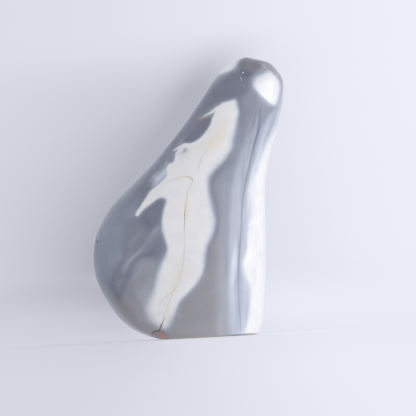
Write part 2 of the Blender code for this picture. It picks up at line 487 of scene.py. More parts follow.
# White zones: u, v, softness of the edge in mm
FRONT_WHITE = [
    [  # the large middle zone, clockwise from its top
        (230, 100.7, 0.5), (234.6, 99.8, 0.6), (236.8, 104.6, 0.9), (238.1, 113, 1.0), (235.8, 125, 1.1),
        (233, 139, 1.2), (230.9, 149.2, 1.4), (220.8, 162.5, 1.5), (212.4, 171.4, 1.4), (208.4, 178, 1.3),
        (207.8, 186, 1.1), (209.6, 198, 1.0), (212.4, 210, 1.1), (214.4, 220, 1.2), (213.3, 230, 1.3),
        (210.4, 238, 1.4), (206.6, 246, 1.4), (204.8, 255, 1.3), (204.2, 265, 1.1), (201.4, 275.2, 1.1),
        (196.8, 283.2, 1.0), (188, 293, 1.0), (180.6, 301, 1.0), (176.6, 309, 1.1), (173, 318, 1.3),
        (169.4, 326, 1.5), (164, 329, 1.6), (158, 326, 1.9), (151.6, 320, 2.4), (146.2, 310, 2.6),
        (148, 301, 2.4), (154, 289, 1.5), (157.6, 275, 1.4), (161.7, 264.2, 1.2), (165.4, 256, 1.1),
        (167.5, 249, 0.9), (165.1, 238, 0.9), (162.2, 228, 0.9), (162.2, 219, 0.7), (164.0, 209, 0.55),
        (166.4, 200.6, 0.7), (163, 197.8, 0.6), (158, 198.6, 0.55), (151, 204, 0.5), (143.2, 210, 0.45), (138, 216, 0.35),
        (135.4, 214, 0.3), (140.5, 206, 0.3), (146.4, 197, 0.3), (149.8, 191.6, 0.32), (157.2, 185.2, 0.4),
        (165.8, 176, 0.6), (166.0, 168.6, 0.7), (168.9, 163.9, 0.55), (173.1, 162.1, 0.4), (175, 157.7, 0.35), (175.8, 153, 0.3), (180.4, 145.8, 0.3),
        (185, 143.2, 0.35), (191, 143, 0.35), (199, 139, 0.35), (205, 132.8, 0.35), (210.2, 124.6, 0.3),
        (212, 118.8, 0.3), (214.2, 113, 0.3), (215, 108.4, 0.35), (219.4, 105, 0.35), (224, 102.3, 0.4),
    ],
    [  # the strip down the right flank; it runs on round the side
        (276.4, 127.4, 1.9), (269.4, 136.4, 1.9), (262, 151, 1.8), (256.2, 165, 1.7), (252.2, 177, 1.5),
        (249, 190, 1.5), (249.6, 205, 1.7), (248.8, 219, 1.5), (247.2, 233, 1.2), (246, 249, 1.2),
        (242, 263, 1.1), (243.6, 275, 1.3), (248, 286.4, 1.4), (249, 301, 1.2), (247.2, 317, 1.1),
        (245.4, 327, 1.0), (242.4, 333, 1.0), (240, 345, 1.1), (300, 345, 1.1), (300, 128, 1.1),
    ],
    [  # the spot on the head
        (253.4, 82.4, 1.1), (256.6, 77.5, 1.1), (262.2, 73.8, 1.2), (269, 71.6, 1.2), (274, 74, 1.2),
        (278, 79, 1.1), (280, 86, 1.0), (279.2, 95, 0.9), (277.6, 100.8, 1.0), (275.2, 105, 1.2),
        (271.6, 104.5, 0.85), (266, 100, 0.65), (259.6, 94.3, 0.65), (254.5, 88, 0.8),
    ],
    [  # the patch over the head's left shoulder
        (219, 74.4, 0.7), (225, 72.9, 0.6), (229.8, 71.3, 0.6), (234.4, 68, 0.7), (237.2, 63, 1.0),
        (239.4, 57.6, 0.9), (242, 44, 0.9), (218, 38, 0.9), (198, 52, 0.9), (204, 70.4, 0.9), (213, 74.7, 0.8),
    ],
]

# Thin white veins: u, v, half width in mm, strength
FRONT_VEINS = [
    [(218, 108, 0.9, 1.0), (212, 112, 0.62, 1.0), (205.9, 115.2, 0.36, 0.74), (202.8, 116.7, 0.26, 0.34), (199.4, 118.6, 0.16, 0.2)],
    [(180.4, 146.4, 0.5, 1.0), (177.2, 148.2, 0.38, 0.95), (174.4, 150.2, 0.22, 0.85), (172.8, 151, 0.2, 0.5)],
]

# Fractures and hairlines: u, v, half width in mm, strength
FRONT_FRACTURE_A = [
    (212, 140, 0.04, 0.12), (208.4, 146.6, 0.05, 0.4), (204.5, 153, 0.05, 0.5), (201, 160.4, 0.06, 0.65), (197.8, 168, 0.05, 0.5), (196.2, 173, 0.04, 0.15),
]
FRONT_FRACTURE_B = [
    (160, 186.5, 0.04, 0.1), (165.6, 183, 0.05, 0.35), (174, 179.4, 0.06, 0.5), (183, 176.3, 0.07, 0.65), (189, 177.3, 0.09, 0.8),
    (192.6, 180.2, 0.09, 0.8), (190.8, 185, 0.08, 0.7), (188.2, 190.6, 0.07, 0.6), (186.5, 200.6, 0.07, 0.65),
    (185, 210, 0.12, 1.1), (184.6, 219, 0.12, 1.1), (184.6, 230, 0.07, 0.55), (184.4, 239.5, 0.07, 0.5), (184.2, 250, 0.06, 0.4),
    (183.4, 260, 0.07, 0.5), (181, 274.6, 0.06, 0.4), (177.5, 284, 0.06, 0.4), (173.4, 292, 0.06, 0.45),
    (169.2, 301, 0.06, 0.4), (166.6, 308, 0.06, 0.5), (165, 315, 0.07, 0.5), (163.4, 320, 0.14, 1.0),
    (161.4, 325, 0.24, 1.2), (159.8, 329, 0.28, 1.3), (159, 331.4, 0.24, 1.3),
]
FRONT_FRACTURE_C = [
    (176.5, 284.5, 0.05, 0.2), (173.8, 290, 0.06, 0.45), (168, 295.5, 0.06, 0.5), (163, 299.5, 0.07, 0.6), (158.8, 303.8, 0.05, 0.3),
]
FRONT_FRACTURE_D = [
    (150.4, 336.4, 0.06, 0.5), (151.8, 333.2, 0.2, 1.2), (154.6, 331.4, 0.3, 1.25), (158.8, 330.8, 0.3, 1.2), (162.4, 331.6, 0.2, 0.9), (165, 333.6, 0.1, 0.5),
]
FRONT_HAIRLINE = [
    (260.6, 105, 0.5, 0.3), (260.2, 111, 0.62, 1.0), (260.0, 118, 0.6, 1.1), (258.6, 129, 0.5, 0.95), (254.8, 142, 0.42, 0.75), (252, 154, 0.42, 0.72),
    (249.6, 166, 0.4, 0.76), (246.2, 180, 0.4, 0.76), (244.2, 190.5, 0.3, 0.67), (242.4, 201, 0.24, 0.6), (241.7, 212, 0.2, 0.55),
    (241.1, 226, 0.2, 0.5), (240.2, 240, 0.24, 0.55), (239.5, 252, 0.26, 0.6), (238.5, 264, 0.26, 0.47), (238, 278, 0.26, 0.43), (238.2, 293, 0.22, 0.43), (239.2, 306, 0.2, 0.47),
    (240.5, 322, 0.2, 0.47), (241, 338, 0.18, 0.32),
]

# Strokes below are u, v, width in mm, strength; areas are a strength and u, v, softness in mm

# Haze: thin milky chalcedony that lightens the grey, and painted highlight down the right flank and along the belly's
# lower left rim
FRONT_HAZE_AND_SHEEN = [
    [(260.6, 63.4, 0.6, 0.1), (264.4, 66.4, 0.9, 0.26), (268.6, 68.8, 0.7, 0.1)],
    # the strokes from here to the one at u 222 lie down the right flank and the head's right side: painted highlight,
    # the lamps' soft reflection drawn over milky stone
    [(241, 150, 2.0, 0.08), (237, 178, 2.6, 0.22), (233.6, 205, 2.3, 0.26), (232.5, 230, 2.0, 0.34), (232.3, 250, 1.95, 0.48),
     (231.7, 270, 1.95, 0.54), (231.4, 290, 2.0, 0.56), (231.6, 312, 2.1, 0.54), (232, 336, 2.1, 0.50)],
    [(236.4, 238, 0.5, 0.0), (235.2, 250, 0.75, 0.36), (233.8, 264, 0.95, 0.62), (232.6, 276, 0.85, 0.46), (231, 290, 0.5, 0.0)],
    [(236.8, 243, 0.4, 0.0), (236.9, 250, 0.45, 0.24), (236.8, 258, 0.5, 0.32), (236.7, 266, 0.5, 0.34), (236.2, 275, 0.45, 0.18), (235.8, 283, 0.4, 0.0)],
    [(254, 165, 1.0, 0.0), (250.6, 179, 1.0, 0.18), (247.4, 195, 1.4, 0.36), (246.4, 212, 1.3, 0.38), (244.8, 232, 1.1, 0.36),
     (242.6, 250, 0.9, 0.4), (241, 264, 0.7, 0.44), (243.6, 283, 1.6, 0.52), (245, 303, 1.8, 0.54), (243, 326, 1.6, 0.6), (242, 338, 1.6, 0.6)],
    [(245, 205, 0.22, 0.0), (244, 213, 0.24, 0.4), (243.2, 224, 0.22, 0.1)],
    [(251, 128, 0.5, 0.0), (248.6, 140, 0.6, 0.08), (246.6, 152, 0.6, 0.1), (245.4, 166, 0.5, 0.14), (243, 178, 0.5, 0.02)],
    [(257.2, 116, 0.3, 0.1), (255.6, 130, 0.4, 0.2), (252.4, 143, 0.34, 0.12), (249.8, 153, 0.34, 0.14), (247, 165, 0.4, 0.22), (244.6, 176, 0.3, 0.0)],
    [(240.4, 178, 0.8, 0.04), (239.4, 192, 1.1, 0.2), (239, 208, 1.3, 0.26), (238.6, 225, 1.3, 0.28), (237, 243, 1.1, 0.18)],
    [(235, 255, 1.1, 0.0), (234.4, 268, 2.0, 0.26), (235.6, 285, 2.7, 0.32), (237, 305, 2.5, 0.28), (238, 338, 2.5, 0.3)],
    [(243, 244, 0.6, 0.1), (244.4, 254, 0.7, 0.2), (242, 262, 0.5, 0.1)], [(243, 278, 0.8, 0.0), (247, 288, 1.0, 0.34), (248, 296, 1.0, 0.26), (247, 304, 0.9, 0.0)],
    [(277, 106, 0.9, 0.1), (271, 117, 1.4, 0.44), (266.6, 128, 1.5, 0.58), (262.6, 140, 1.4, 0.62), (259.6, 150, 1.3, 0.76), (256.4, 161, 0.9, 0.74), (253, 171, 0.7, 0.6), (251, 184, 0.9, 0.36), (249.6, 196, 0.9, 0.2), (248.6, 207, 0.8, 0.2), (247, 220, 0.7, 0.0)],
    [(264, 122, 0.5, 0.0), (261.2, 131, 0.5, 0.2), (258, 142, 0.5, 0.18), (255.4, 152, 0.5, 0.14), (253, 164, 0.45, 0.06), (249.6, 176, 0.4, 0.0)],
    [(283, 90, 1.0, 0.4), (282, 104, 1.5, 0.62), (279.6, 115, 1.6, 0.7), (275.4, 127, 1.5, 0.6)],
    [(225, 165, 2.2, 0.0), (224, 190, 2.8, 0.12), (223.4, 215, 2.6, 0.15), (222.5, 240, 2.4, 0.18), (222, 265, 2.4, 0.24), (222, 290, 2.6, 0.26), (222, 336, 2.6, 0.26)],
    [(121, 276, 0.45, 0.0), (128.2, 262.4, 0.7, 0.27), (133.6, 256.8, 0.7, 0.28), (139, 251.8, 0.65, 0.25), (144.6, 245.4, 0.6, 0.1), (150, 237, 0.9, 0.08), (154.4, 231.4, 1.1, 0.2), (159, 227, 1.0, 0.24), (163, 224, 0.7, 0.0)],
    [(130.6, 282.4, 0.5, 0.0), (134.2, 277.5, 0.55, 0.14), (138.4, 272.4, 0.5, 0.12), (143, 267, 0.5, 0.0)],
    [(125, 252, 0.6, 0.0), (130, 244, 0.7, 0.09), (137, 235.6, 0.7, 0.1), (143, 228, 0.7, 0.0)],
    [(117.9, 285, 0.5, 0.16)],
    # a painted pale reflection along the belly's lower left rim
    [(97, 276, 0.6, 0.0), (103, 291, 0.7, 0.12), (114, 308, 0.8, 0.2), (127, 322.6, 0.9, 0.24), (138, 330.6, 0.9, 0.26), (147, 336, 0.8, 0.16)],
    # the smudge beside the wing: a few wisps with a clear gap
    [(156.4, 177.6, 0.9, 0.24)],
    [(150.6, 181.4, 0.6, 0.14), (152.4, 178.2, 0.7, 0.24), (155, 174.8, 0.7, 0.2), (159, 171.6, 0.6, 0.1)],
    [(154, 186, 0.9, 0.34), (156, 182.6, 1.1, 0.56), (158.2, 179.4, 1.3, 0.7), (161.2, 176.4, 1.4, 0.74), (164, 173.4, 1.3, 0.78), (166, 170, 1.0, 0.7), (168, 167.6, 0.7, 0.4)],
    [(163.4, 167, 0.3, 0.1), (166, 163.8, 0.34, 0.5), (166, 161, 0.22, 0.3)],
]
FRONT_HAZE_AREAS = [
    (0.08, [(170, 329, 3.4), (188, 327, 3.8), (208, 322, 3.8), (222, 318, 3.6), (226, 345, 2.6), (198, 358, 3.4), (164, 350, 1.6)]),
    (0.08, [(150.4, 181.5, 0.8), (153, 175, 0.8), (158, 171, 0.8), (163, 167, 0.7), (168, 168, 0.7), (166, 177, 0.6), (160, 184, 0.6), (154.4, 188, 0.6)]),
    (0.07, [(137, 268, 1.6), (148, 260, 1.4), (157, 262, 1.2), (156, 276, 1.2), (151, 290, 1.4), (143, 303, 1.6), (134, 292, 1.6)]),
    (0.14, [(144, 286, 1.6), (151, 278, 1.2), (156, 280, 1.0), (152, 292, 1.2), (147, 304, 1.4), (140, 311, 1.6), (138, 300, 1.8)]),
]

# Deep: clearer, darker chalcedony, and in a few strokes painted shade
FRONT_DEEP_AREAS = [
    (0.72, [(238, 57, 1.0), (250, 56, 1.0), (260, 60, 1.0), (262, 65, 0.9), (257, 71, 1.2), (250, 77, 1.2), (240, 72, 1.2)]),
    (0.55, [(255.5, 99, 1.4), (262, 102, 1.4), (268, 107, 1.4), (265.4, 116, 1.2), (260, 125, 1.2), (255.6, 131, 1.2), (253, 124, 1.2), (253.6, 110, 1.4)]),
    (0.26, [(113, 264, 1.8), (121, 260, 1.6), (131, 264, 1.6), (131, 278, 1.4), (124, 294, 1.4), (115, 298, 1.8), (109, 284, 1.8)]),
    (0.36, [(126, 226, 2.0), (140, 218, 1.6), (152, 226, 1.6), (148, 244, 1.6), (138, 258, 1.6), (126, 262, 2.0), (121, 246, 2.0)]),
    (0.75, [(203, 96, 2.2), (221, 80, 1.8), (237, 71, 1.6), (249, 74, 1.6), (251, 86, 1.6), (244, 96, 2.0), (233, 99, 1.4), (219, 101.6, 0.9),
            (207, 110, 1.4), (195, 122, 1.8), (184, 134, 1.6), (171, 147, 1.4), (161, 158, 2.0), (165, 146, 2.0), (182, 124, 2.0)]),
    (0.8, [(211, 117.6, 0.4), (209.2, 124.4, 0.4), (205, 131.4, 0.5), (198.6, 138, 0.5), (190, 142, 0.6), (183.4, 141.4, 0.9), (186, 134, 2.0), (192, 127, 2.2), (197.6, 121, 1.6), (204, 118.8, 0.7)]),
    (0.75, [(140, 217, 2.0), (146, 209, 1.0), (152, 202, 0.6), (160, 199, 0.5), (164, 203, 0.6), (162, 216, 0.8), (161.4, 228, 1.6), (155, 232, 2.6), (146, 228, 2.8)]),
    (0.6, [(146, 253, 2.6), (155, 238, 1.8), (163, 233.6, 1.0), (167, 246, 0.9), (165, 256, 1.4), (156, 260, 2.2)]),
]
FRONT_DEEP_AND_SHADE = [
    [(116, 216, 2.0, 0.14), (131, 200, 2.4, 0.52), (140, 190, 2.4, 0.68), (150, 176, 2.2, 0.64), (160, 163, 1.8, 0.46), (171, 149, 1.5, 0.46), (181, 132, 1.2, 0.3)],
    [(97, 238, 1.2, 0.1), (97, 252, 1.6, 0.1), (101, 268, 2.0, 0.14), (109, 284, 2.2, 0.4), (120, 302, 2.0, 0.42), (132, 316, 1.8, 0.2)],
    [(234, 150, 0.8, 0.1), (226, 163, 1.2, 0.55), (216, 174, 1.2, 0.8), (212, 186, 1.0, 0.55), (215.6, 202, 0.9, 0.42), (218.6, 215, 0.9, 0.42),
     (217.6, 227, 1.0, 0.5), (214, 238, 1.1, 0.5), (210, 247, 1.1, 0.5), (208.6, 258, 1.0, 0.42), (206, 270, 1.0, 0.3), (200, 282, 1.0, 0.15)],
    # two dark lines that fold round the foot of the pale vein
    [(127.4, 243, 0.9, 0.0), (125.4, 252, 1.0, 0.28), (123, 258.8, 1.0, 0.44), (119.4, 266.8, 1.0, 0.46), (115.2, 274.8, 0.9, 0.44), (113, 282.3, 1.0, 0.38),
     (114.4, 288.4, 1.3, 0.3), (117, 294, 1.5, 0.28), (120, 299.4, 1.6, 0.2), (123, 306, 1.4, 0.0)],
    [(156, 247, 1.2, 0.1), (150, 253.6, 1.4, 0.44), (143.8, 255.8, 1.2, 0.6), (138.6, 258.8, 1.05, 0.58), (134.6, 262.6, 1.0, 0.56), (131.4, 268, 1.0, 0.52), (128.4, 274.6, 1.0, 0.44), (125.4, 281, 1.0, 0.4),
     (123.6, 286, 1.2, 0.32), (121, 293, 1.2, 0.26), (119.8, 299, 1.0, 0.14)],
    [(122, 268.6, 0.8, 0.0), (120.4, 274, 1.0, 0.34), (118.8, 280, 1.0, 0.26), (118.2, 288, 1.0, 0.0)],
    [(119.6, 278, 0.5, 0.2), (122, 276.6, 0.5, 0.4), (124, 275.6, 0.5, 0.4), (126.8, 276, 0.4, 0.2)],
    # these two strokes are painted shade: darker streaks in the reflection on the head's right flank
    [(239.8, 100, 0.9, 0.5), (241.4, 110, 1.1, 0.68), (240.6, 124, 1.1, 0.5), (237.6, 138, 1.0, 0.3), (234, 150, 0.9, 0.2)],
    [(256.6, 107, 0.4, 0.15), (256, 113, 0.5, 0.5), (254.2, 119, 0.6, 0.8), (252.4, 125, 0.6, 0.75), (250.2, 131, 0.6, 0.6), (248.6, 138, 0.5, 0.2), (247.6, 144, 0.4, 0.0)],
    # painted shade along the foot's right end
    [(224, 334, 1.0, 0.0), (230, 332.4, 1.5, 0.5), (236, 331.8, 1.5, 0.6), (241, 331.4, 1.3, 0.5)],
    [(134, 211, 1.0, 0.0), (139, 203.5, 1.2, 0.4), (143.6, 195.4, 1.2, 0.5), (147.6, 189, 1.1, 0.45), (153, 184, 1.0, 0.15)],
    [(101, 226, 1.4, 0.14), (97, 236, 1.6, 0.5), (96, 246, 1.5, 0.44), (97, 256, 1.2, 0.1)],
    [(108, 224, 2.0, 0.12), (118, 222, 2.4, 0.22), (133, 222, 2.2, 0.22)],
]

# Warm: a brown or purple cast
FRONT_WARM_AREAS = [
    (0.56, [(170, 329, 3.2), (188, 327, 3.6), (208, 326, 3.6), (224, 327, 3.2), (232, 345, 2.6), (198, 356, 3.2), (164, 350, 1.6)]),
    (0.6, [(241, 58, 1.2), (250, 57, 1.2), (257, 60, 1.2), (262, 66, 1.2), (257, 71, 1.2), (249, 71.6, 1.4), (242, 67, 1.2)]),
    (0.75, [(197, 117, 0.8), (205, 114, 0.6), (214.6, 111, 0.5), (211, 120, 0.7), (204, 124.5, 0.9), (197, 124, 0.9)]),
    (0.9, [(112, 288, 2.2), (124, 297, 2.4), (138, 310, 2.2), (150, 321, 1.6), (159, 333, 1.2), (152, 340, 1.4), (132, 332, 2.0), (116, 312, 2.0)]),
    (0.62, [(180, 306, 2.0), (196, 288, 2.0), (206, 262, 1.6), (216, 240, 1.6), (224, 262, 3.0), (226, 298, 3.0), (226, 340, 3.0), (172, 342, 2.0), (175, 322, 1.6)]),
    (0.35, [(211, 180, 1.6), (216, 196, 1.4), (219, 214, 1.4), (218, 232, 1.6), (212, 250, 1.4), (226, 246, 2.6), (229, 214, 2.6), (222, 182, 2.4)]),
    (0.45, [(140, 266, 2.0), (150, 262, 1.6), (156, 272, 1.4), (150, 294, 1.6), (142, 310, 1.6), (130, 306, 2.0), (132, 284, 2.0)]),
]

# Cool: a blue-green cast
FRONT_COOL_AREAS = [
    (0.8, [(94, 236, 3.0), (106, 226, 4.0), (120, 228, 4.5), (127, 240, 3.5), (121, 258, 2.4), (113, 272, 2.4), (104, 282, 3.0), (94, 266, 3.0)]),
    (0.5, [(112, 212, 2.5), (128, 196, 2.5), (142, 192, 2.0), (138, 206, 2.0), (126, 220, 2.5), (110, 228, 2.5)]),
]

# Tan stains in the white, rust where iron has run in, and clouds of clearer stone; one cloud stroke is painted shade
# along the foot
FRONT_TAN = [
    [(228, 115, 1.2, 0.16), (223.6, 124, 1.8, 0.28), (218.6, 134, 2.2, 0.38), (212.6, 143, 2.0, 0.32), (206, 151, 1.4, 0.16)],
    [(229, 120, 1.8, 0.14), (224, 130, 2.8, 0.3), (218, 141, 3.2, 0.34), (210, 150, 2.6, 0.22), (204, 158, 1.6, 0.1)],
    [(215, 137, 0.8, 0.2), (209, 142, 0.9, 0.3), (201, 146, 0.9, 0.26), (194, 148.6, 0.8, 0.12)],
    [(198, 149, 1.2, 0.16), (200, 157, 0.9, 0.2), (198, 166, 0.6, 0.2)],
    [(187.2, 195, 0.6, 0.2), (187, 206, 1.0, 0.62), (187, 216, 0.9, 0.5), (186, 226, 0.6, 0.1)],
    [(183.6, 261, 0.5, 0.25), (181.6, 270, 0.9, 0.45), (179, 280, 1.1, 0.5), (175.6, 290, 1.1, 0.4), (171, 298, 0.8, 0.3), (168, 306, 0.6, 0.2)],
    [(187, 262, 0.8, 0.1), (186, 270, 1.1, 0.3), (184, 279, 1.0, 0.1)],
    [(149, 298, 1.4, 0.1), (147.6, 308, 1.6, 0.3), (152, 318, 1.8, 0.34), (158, 325, 1.6, 0.3)],
    [(180, 256, 1.6, 0.1), (178, 272, 2.6, 0.2), (172, 288, 2.6, 0.2), (165, 303, 1.8, 0.14)],
    [(169.4, 309, 0.9, 0.2), (168.6, 318, 1.0, 0.5), (166.4, 326, 1.0, 0.5)],
    [(166, 262.8, 0.16, 0.6), (175, 264.2, 0.18, 0.85), (183.6, 264.8, 0.17, 0.7), (194, 264.2, 0.14, 0.3)],
    [(172, 181.4, 0.5, 0.2), (182, 178, 0.5, 0.3), (189, 178, 0.5, 0.3)],
    [(256.6, 193, 0.5, 0.25), (256.4, 199, 0.5, 0.3)],
]
FRONT_RUST = [
    [(188, 176.6, 0.12, 0.3), (190.6, 177.8, 0.17, 0.9), (192.6, 179.6, 0.13, 0.4)],
    [(195.4, 120.6, 0.5, 0.12), (198.6, 119, 0.5, 0.24), (202.4, 117.3, 0.5, 0.2), (207, 115.8, 0.4, 0.12)],
    [(164, 316.4, 0.2, 0.7)], [(163.4, 319, 0.17, 0.6)], [(165.2, 311.6, 0.14, 0.35)], [(160.6, 304.4, 0.14, 0.35)],
    [(163.8, 336.4, 0.4, 0.8), (165.6, 337, 0.5, 1.0), (167, 337.4, 0.4, 0.7)], [(164.8, 337.8, 0.6, 0.9)], [(158.6, 332.6, 0.5, 0.1), (161, 334, 0.6, 0.34), (163.4, 335.2, 0.5, 0.4)],
    [(178.6, 236, 0.24, 0.34)], [(178.2, 244.6, 0.26, 0.36)], [(190.4, 233.4, 0.18, 0.24)],
]
FRONT_BROWN_AREAS = [
    (0.24, [(243, 60, 2.2), (250, 59, 2.2), (257, 62, 2.2), (259, 66, 2.0), (254, 71, 2.2), (247, 70, 2.2)]),
    (0.92, [(150.6, 334, 0.35), (155, 330, 0.3), (161.8, 330, 0.35), (166.4, 334, 0.4), (169, 341, 0.4), (158, 341, 0.4), (150, 338, 0.4)]),
]
FRONT_CLOUD_AND_SHADE = [
    [(181.8, 153, 0.7, 0.3), (183.6, 151.8, 0.75, 0.7), (185.6, 149.8, 0.9, 1.0), (186.6, 148.4, 0.5, 0.4)],
    [(155.6, 325.4, 0.45, 0.5)],
    [(152, 332, 1.6, 0.5), (160, 330, 1.6, 0.6), (168, 329, 1.5, 0.4), (170.6, 318, 1.2, 0.14)],
    [(163.4, 321, 0.16, 0.3), (161.6, 326, 0.22, 0.6), (159.8, 331, 0.22, 0.6)],
    # painted shade where the white strip meets the foot
    [(238, 332.8, 1.0, 0.5), (242, 332.4, 1.0, 0.7), (245.6, 332.6, 0.7, 0.3)],
    [(254, 268, 0.9, 0.16), (254.6, 276, 0.9, 0.2), (254, 284, 0.8, 0.12)],
    [(208, 190, 1.0, 0.12), (210, 206, 1.2, 0.12), (211, 224, 1.2, 0.1)],
]
FRONT_CLOUD_AREAS = [
    (0.07, [(254, 82, 1.0), (258, 76, 1.0), (269, 72, 1.1), (278, 79, 1.1), (280, 90, 1.0), (275, 106, 0.9), (268, 101, 0.9), (257, 91, 0.9)]),
    (0.07, [(172, 290, 2.0), (176, 262, 2.0), (190, 258, 2.0), (198, 268, 1.6), (184, 292, 1.6), (172, 312, 1.6), (158, 316, 1.6), (160, 300, 1.6)]),
    (0.1, [(176, 152, 0.6), (181, 147, 0.5), (188.6, 147, 0.6), (190, 153, 0.8), (184.6, 158, 1.1), (178, 160.4, 0.9), (175.4, 157, 0.6)]),
]

# --- the back's drawing, seen through the stone -----------------------------

BACK_WHITE = [
    [  # the right flank's strip, where it ends on the back
        (281, 116, 0.9), (275, 126, 1.0), (270, 138, 1.1), (266, 150, 0.9), (262, 160, 0.7), (259, 170, 0.6),
        (258, 182, 0.8), (260, 194, 1.0), (261, 208, 1.2), (258, 220, 1.1), (254, 231, 0.9), (252, 243, 0.8),
        (254, 255, 1.0), (258, 268, 1.3), (260, 282, 1.4), (258, 296, 1.1), (253, 308, 0.9), (250, 320, 0.9),
        (248, 345, 1.0), (300, 345, 1.0), (300, 116, 1.0),
    ],
    [  # the large zone, clockwise from its torn top
        (236, 142, 0.4), (240, 150, 0.8), (241, 160, 1.0), (239, 172, 1.2), (235, 184, 1.3), (232, 196, 1.4),
        (233, 208, 1.5), (236, 220, 1.5), (237, 232, 1.4), (235, 244, 1.3), (231, 256, 1.2), (228, 268, 1.1),
        (229, 280, 1.1), (232, 292, 1.2), (233, 304, 1.3), (231, 318, 1.2), (228, 345, 1.2), (196, 345, 1.0),
        (197, 332, 0.9), (199, 320, 0.8), (196, 309, 0.7), (190, 301, 0.6), (184, 296.5, 0.45), (177, 294.6, 0.35),
        (184, 290, 0.35), (191, 285, 0.35), (195, 277, 0.4), (197, 268, 0.5), (200, 259, 0.45), (199, 250, 0.4),
        (193, 245, 0.35), (184, 242, 0.3), (174, 241, 0.3), (184, 236, 0.3), (193, 231, 0.35), (200, 224, 0.4),
        (205, 214, 0.45), (207, 204, 0.5), (206, 196, 0.45), (201, 190.6, 0.35), (192, 187.6, 0.3), (202, 184, 0.3),
        (209, 179, 0.35), (215, 172, 0.4), (220, 163, 0.4), (226, 154, 0.4), (231, 146, 0.35),
    ],
    [  # the torn patch on the neck
        (222, 100, 0.35), (229, 98, 0.5), (232, 104, 0.8), (228, 113, 1.0), (220, 123, 1.1), (212, 132, 1.0),
        (205, 143, 0.9), (197, 152, 0.8), (188, 158, 0.7), (178, 161.6, 0.4), (186, 152, 0.35), (193, 144, 0.35),
        (196, 136, 0.35), (203, 128, 0.3), (206, 119, 0.35), (213, 111, 0.35),
    ],
    [  # a small island under it
        (150, 213, 0.35), (157, 206, 0.35), (163.6, 204, 0.4), (163, 211, 0.7), (155, 219, 0.8), (146, 228, 0.8), (135, 236, 0.5), (141, 226, 0.35),
    ],
    [  # the patch over the head's left shoulder
        (219, 75.5, 0.6), (224, 80, 0.5), (231, 81, 0.5), (237, 77, 0.7), (242, 70, 0.9), (241.6, 62, 1.0), (241, 54, 1.0), (242, 44, 0.9), (218, 38, 0.9), (198, 52, 0.9), (204, 71, 0.9), (213, 75.4, 0.8),
    ],
]
BACK_VEINS = [
    [(178, 241, 0.4, 1.0), (170, 243, 0.3, 1.0), (162, 248, 0.2, 0.9), (156, 254, 0.12, 0.5)],
    [(236, 146, 0.5, 1.0), (239, 137, 0.32, 0.9), (244, 130, 0.16, 0.6)],
]
BACK_FRACTURE_A = [
    (227, 101, 0.08, 0.3), (221, 111, 0.10, 0.7), (213, 121, 0.10, 0.8), (207, 133, 0.11, 0.8), (199, 145, 0.10, 0.7), (188, 156, 0.08, 0.3),
]
BACK_FRACTURE_B = [
    (237, 148, 0.08, 0.3), (232, 160, 0.10, 0.7), (227, 172, 0.11, 0.8), (222, 184, 0.11, 0.8), (219, 197, 0.13, 0.9),
    (220, 210, 0.12, 0.9), (222, 224, 0.11, 0.8), (219, 238, 0.13, 0.9), (214, 251, 0.12, 0.8), (211, 264, 0.10, 0.7),
    (213, 278, 0.11, 0.8), (215, 292, 0.12, 0.8), (212, 306, 0.13, 0.9), (208, 320, 0.15, 0.9), (206, 340, 0.16, 1.0),
]
BACK_FRACTURE_D = [
    (222, 330, 0.05, 0.2), (216, 324, 0.08, 0.6), (209, 321, 0.1, 0.7), (202, 324, 0.08, 0.6), (197, 331, 0.06, 0.3),
]
BACK_FRACTURE_C = [
    (219, 238, 0.10, 0.8), (211, 240.6, 0.10, 0.7), (202, 240, 0.10, 0.7), (192, 241.6, 0.08, 0.4),
]
BACK_HAIRLINE = [
    (253, 124, 0.24, 0.3), (249, 146, 0.26, 0.7), (247, 162, 0.26, 0.8), (246, 178, 0.24, 0.9), (245, 196, 0.22, 0.9), (246, 214, 0.2, 0.9),
    (247, 232, 0.2, 0.9), (245, 250, 0.2, 0.9), (243, 268, 0.2, 0.8), (244, 286, 0.2, 0.8), (244, 304, 0.22, 0.8), (241, 322, 0.22, 0.7), (240, 340, 0.22, 0.6),
]

BACK_HAZE = [
    [(256, 112, 1.4, 0.1), (251, 130, 1.6, 0.3), (248.6, 150, 1.4, 0.36), (249, 172, 1.2, 0.4), (249, 196, 1.2, 0.4), (250, 216, 1.1, 0.4), (249, 236, 1.0, 0.4),
     (248, 256, 1.4, 0.42), (249, 276, 1.8, 0.42), (248, 298, 1.4, 0.4), (245, 320, 1.2, 0.4), (243, 340, 1.2, 0.4)],
    [(240, 196, 0.6, 0.1), (241, 214, 0.7, 0.34), (242, 236, 0.6, 0.34), (239, 256, 0.7, 0.3), (236, 274, 0.7, 0.3), (238, 296, 0.8, 0.24), (237, 320, 0.7, 0.1)],
    [(226, 122, 0.5, 0.0), (220, 136, 0.6, 0.24), (212, 150, 0.7, 0.28), (200, 164, 0.7, 0.26), (188, 174, 0.6, 0.1)],
    [(212, 160, 0.4, 0.0), (203, 170, 0.45, 0.2), (192, 179, 0.45, 0.2), (181, 187, 0.4, 0.0)],
    [(148, 246, 0.5, 0.0), (139, 257, 0.7, 0.26), (131, 269, 0.7, 0.3), (127, 282, 0.6, 0.1)],
    [(156, 256, 0.45, 0.0), (147, 268, 0.5, 0.22), (140, 281, 0.5, 0.22), (138, 294, 0.45, 0.0)],
    [(164, 268, 0.5, 0.0), (158, 284, 0.8, 0.24), (157, 300, 0.8, 0.24), (161, 314, 0.6, 0.0)],
    [(112, 232, 0.5, 0.0), (106, 246, 0.7, 0.22), (104, 262, 0.7, 0.22), (108, 278, 0.5, 0.0)],
    [(268, 74, 1.6, 0.1), (262, 86, 1.8, 0.26), (254, 98, 1.5, 0.22), (250, 110, 1.2, 0.05)],
]
BACK_HAZE_AREAS = [
    (0.42, [(170, 176, 0.6), (176, 169, 0.6), (183, 164, 0.5), (187, 166, 0.5), (183, 174, 0.5), (175, 182, 0.6)]),
    (0.12, [(166, 262, 2.0), (178, 252, 2.0), (190, 256, 1.6), (188, 276, 1.6), (176, 290, 2.0), (164, 284, 2.4)]),
]
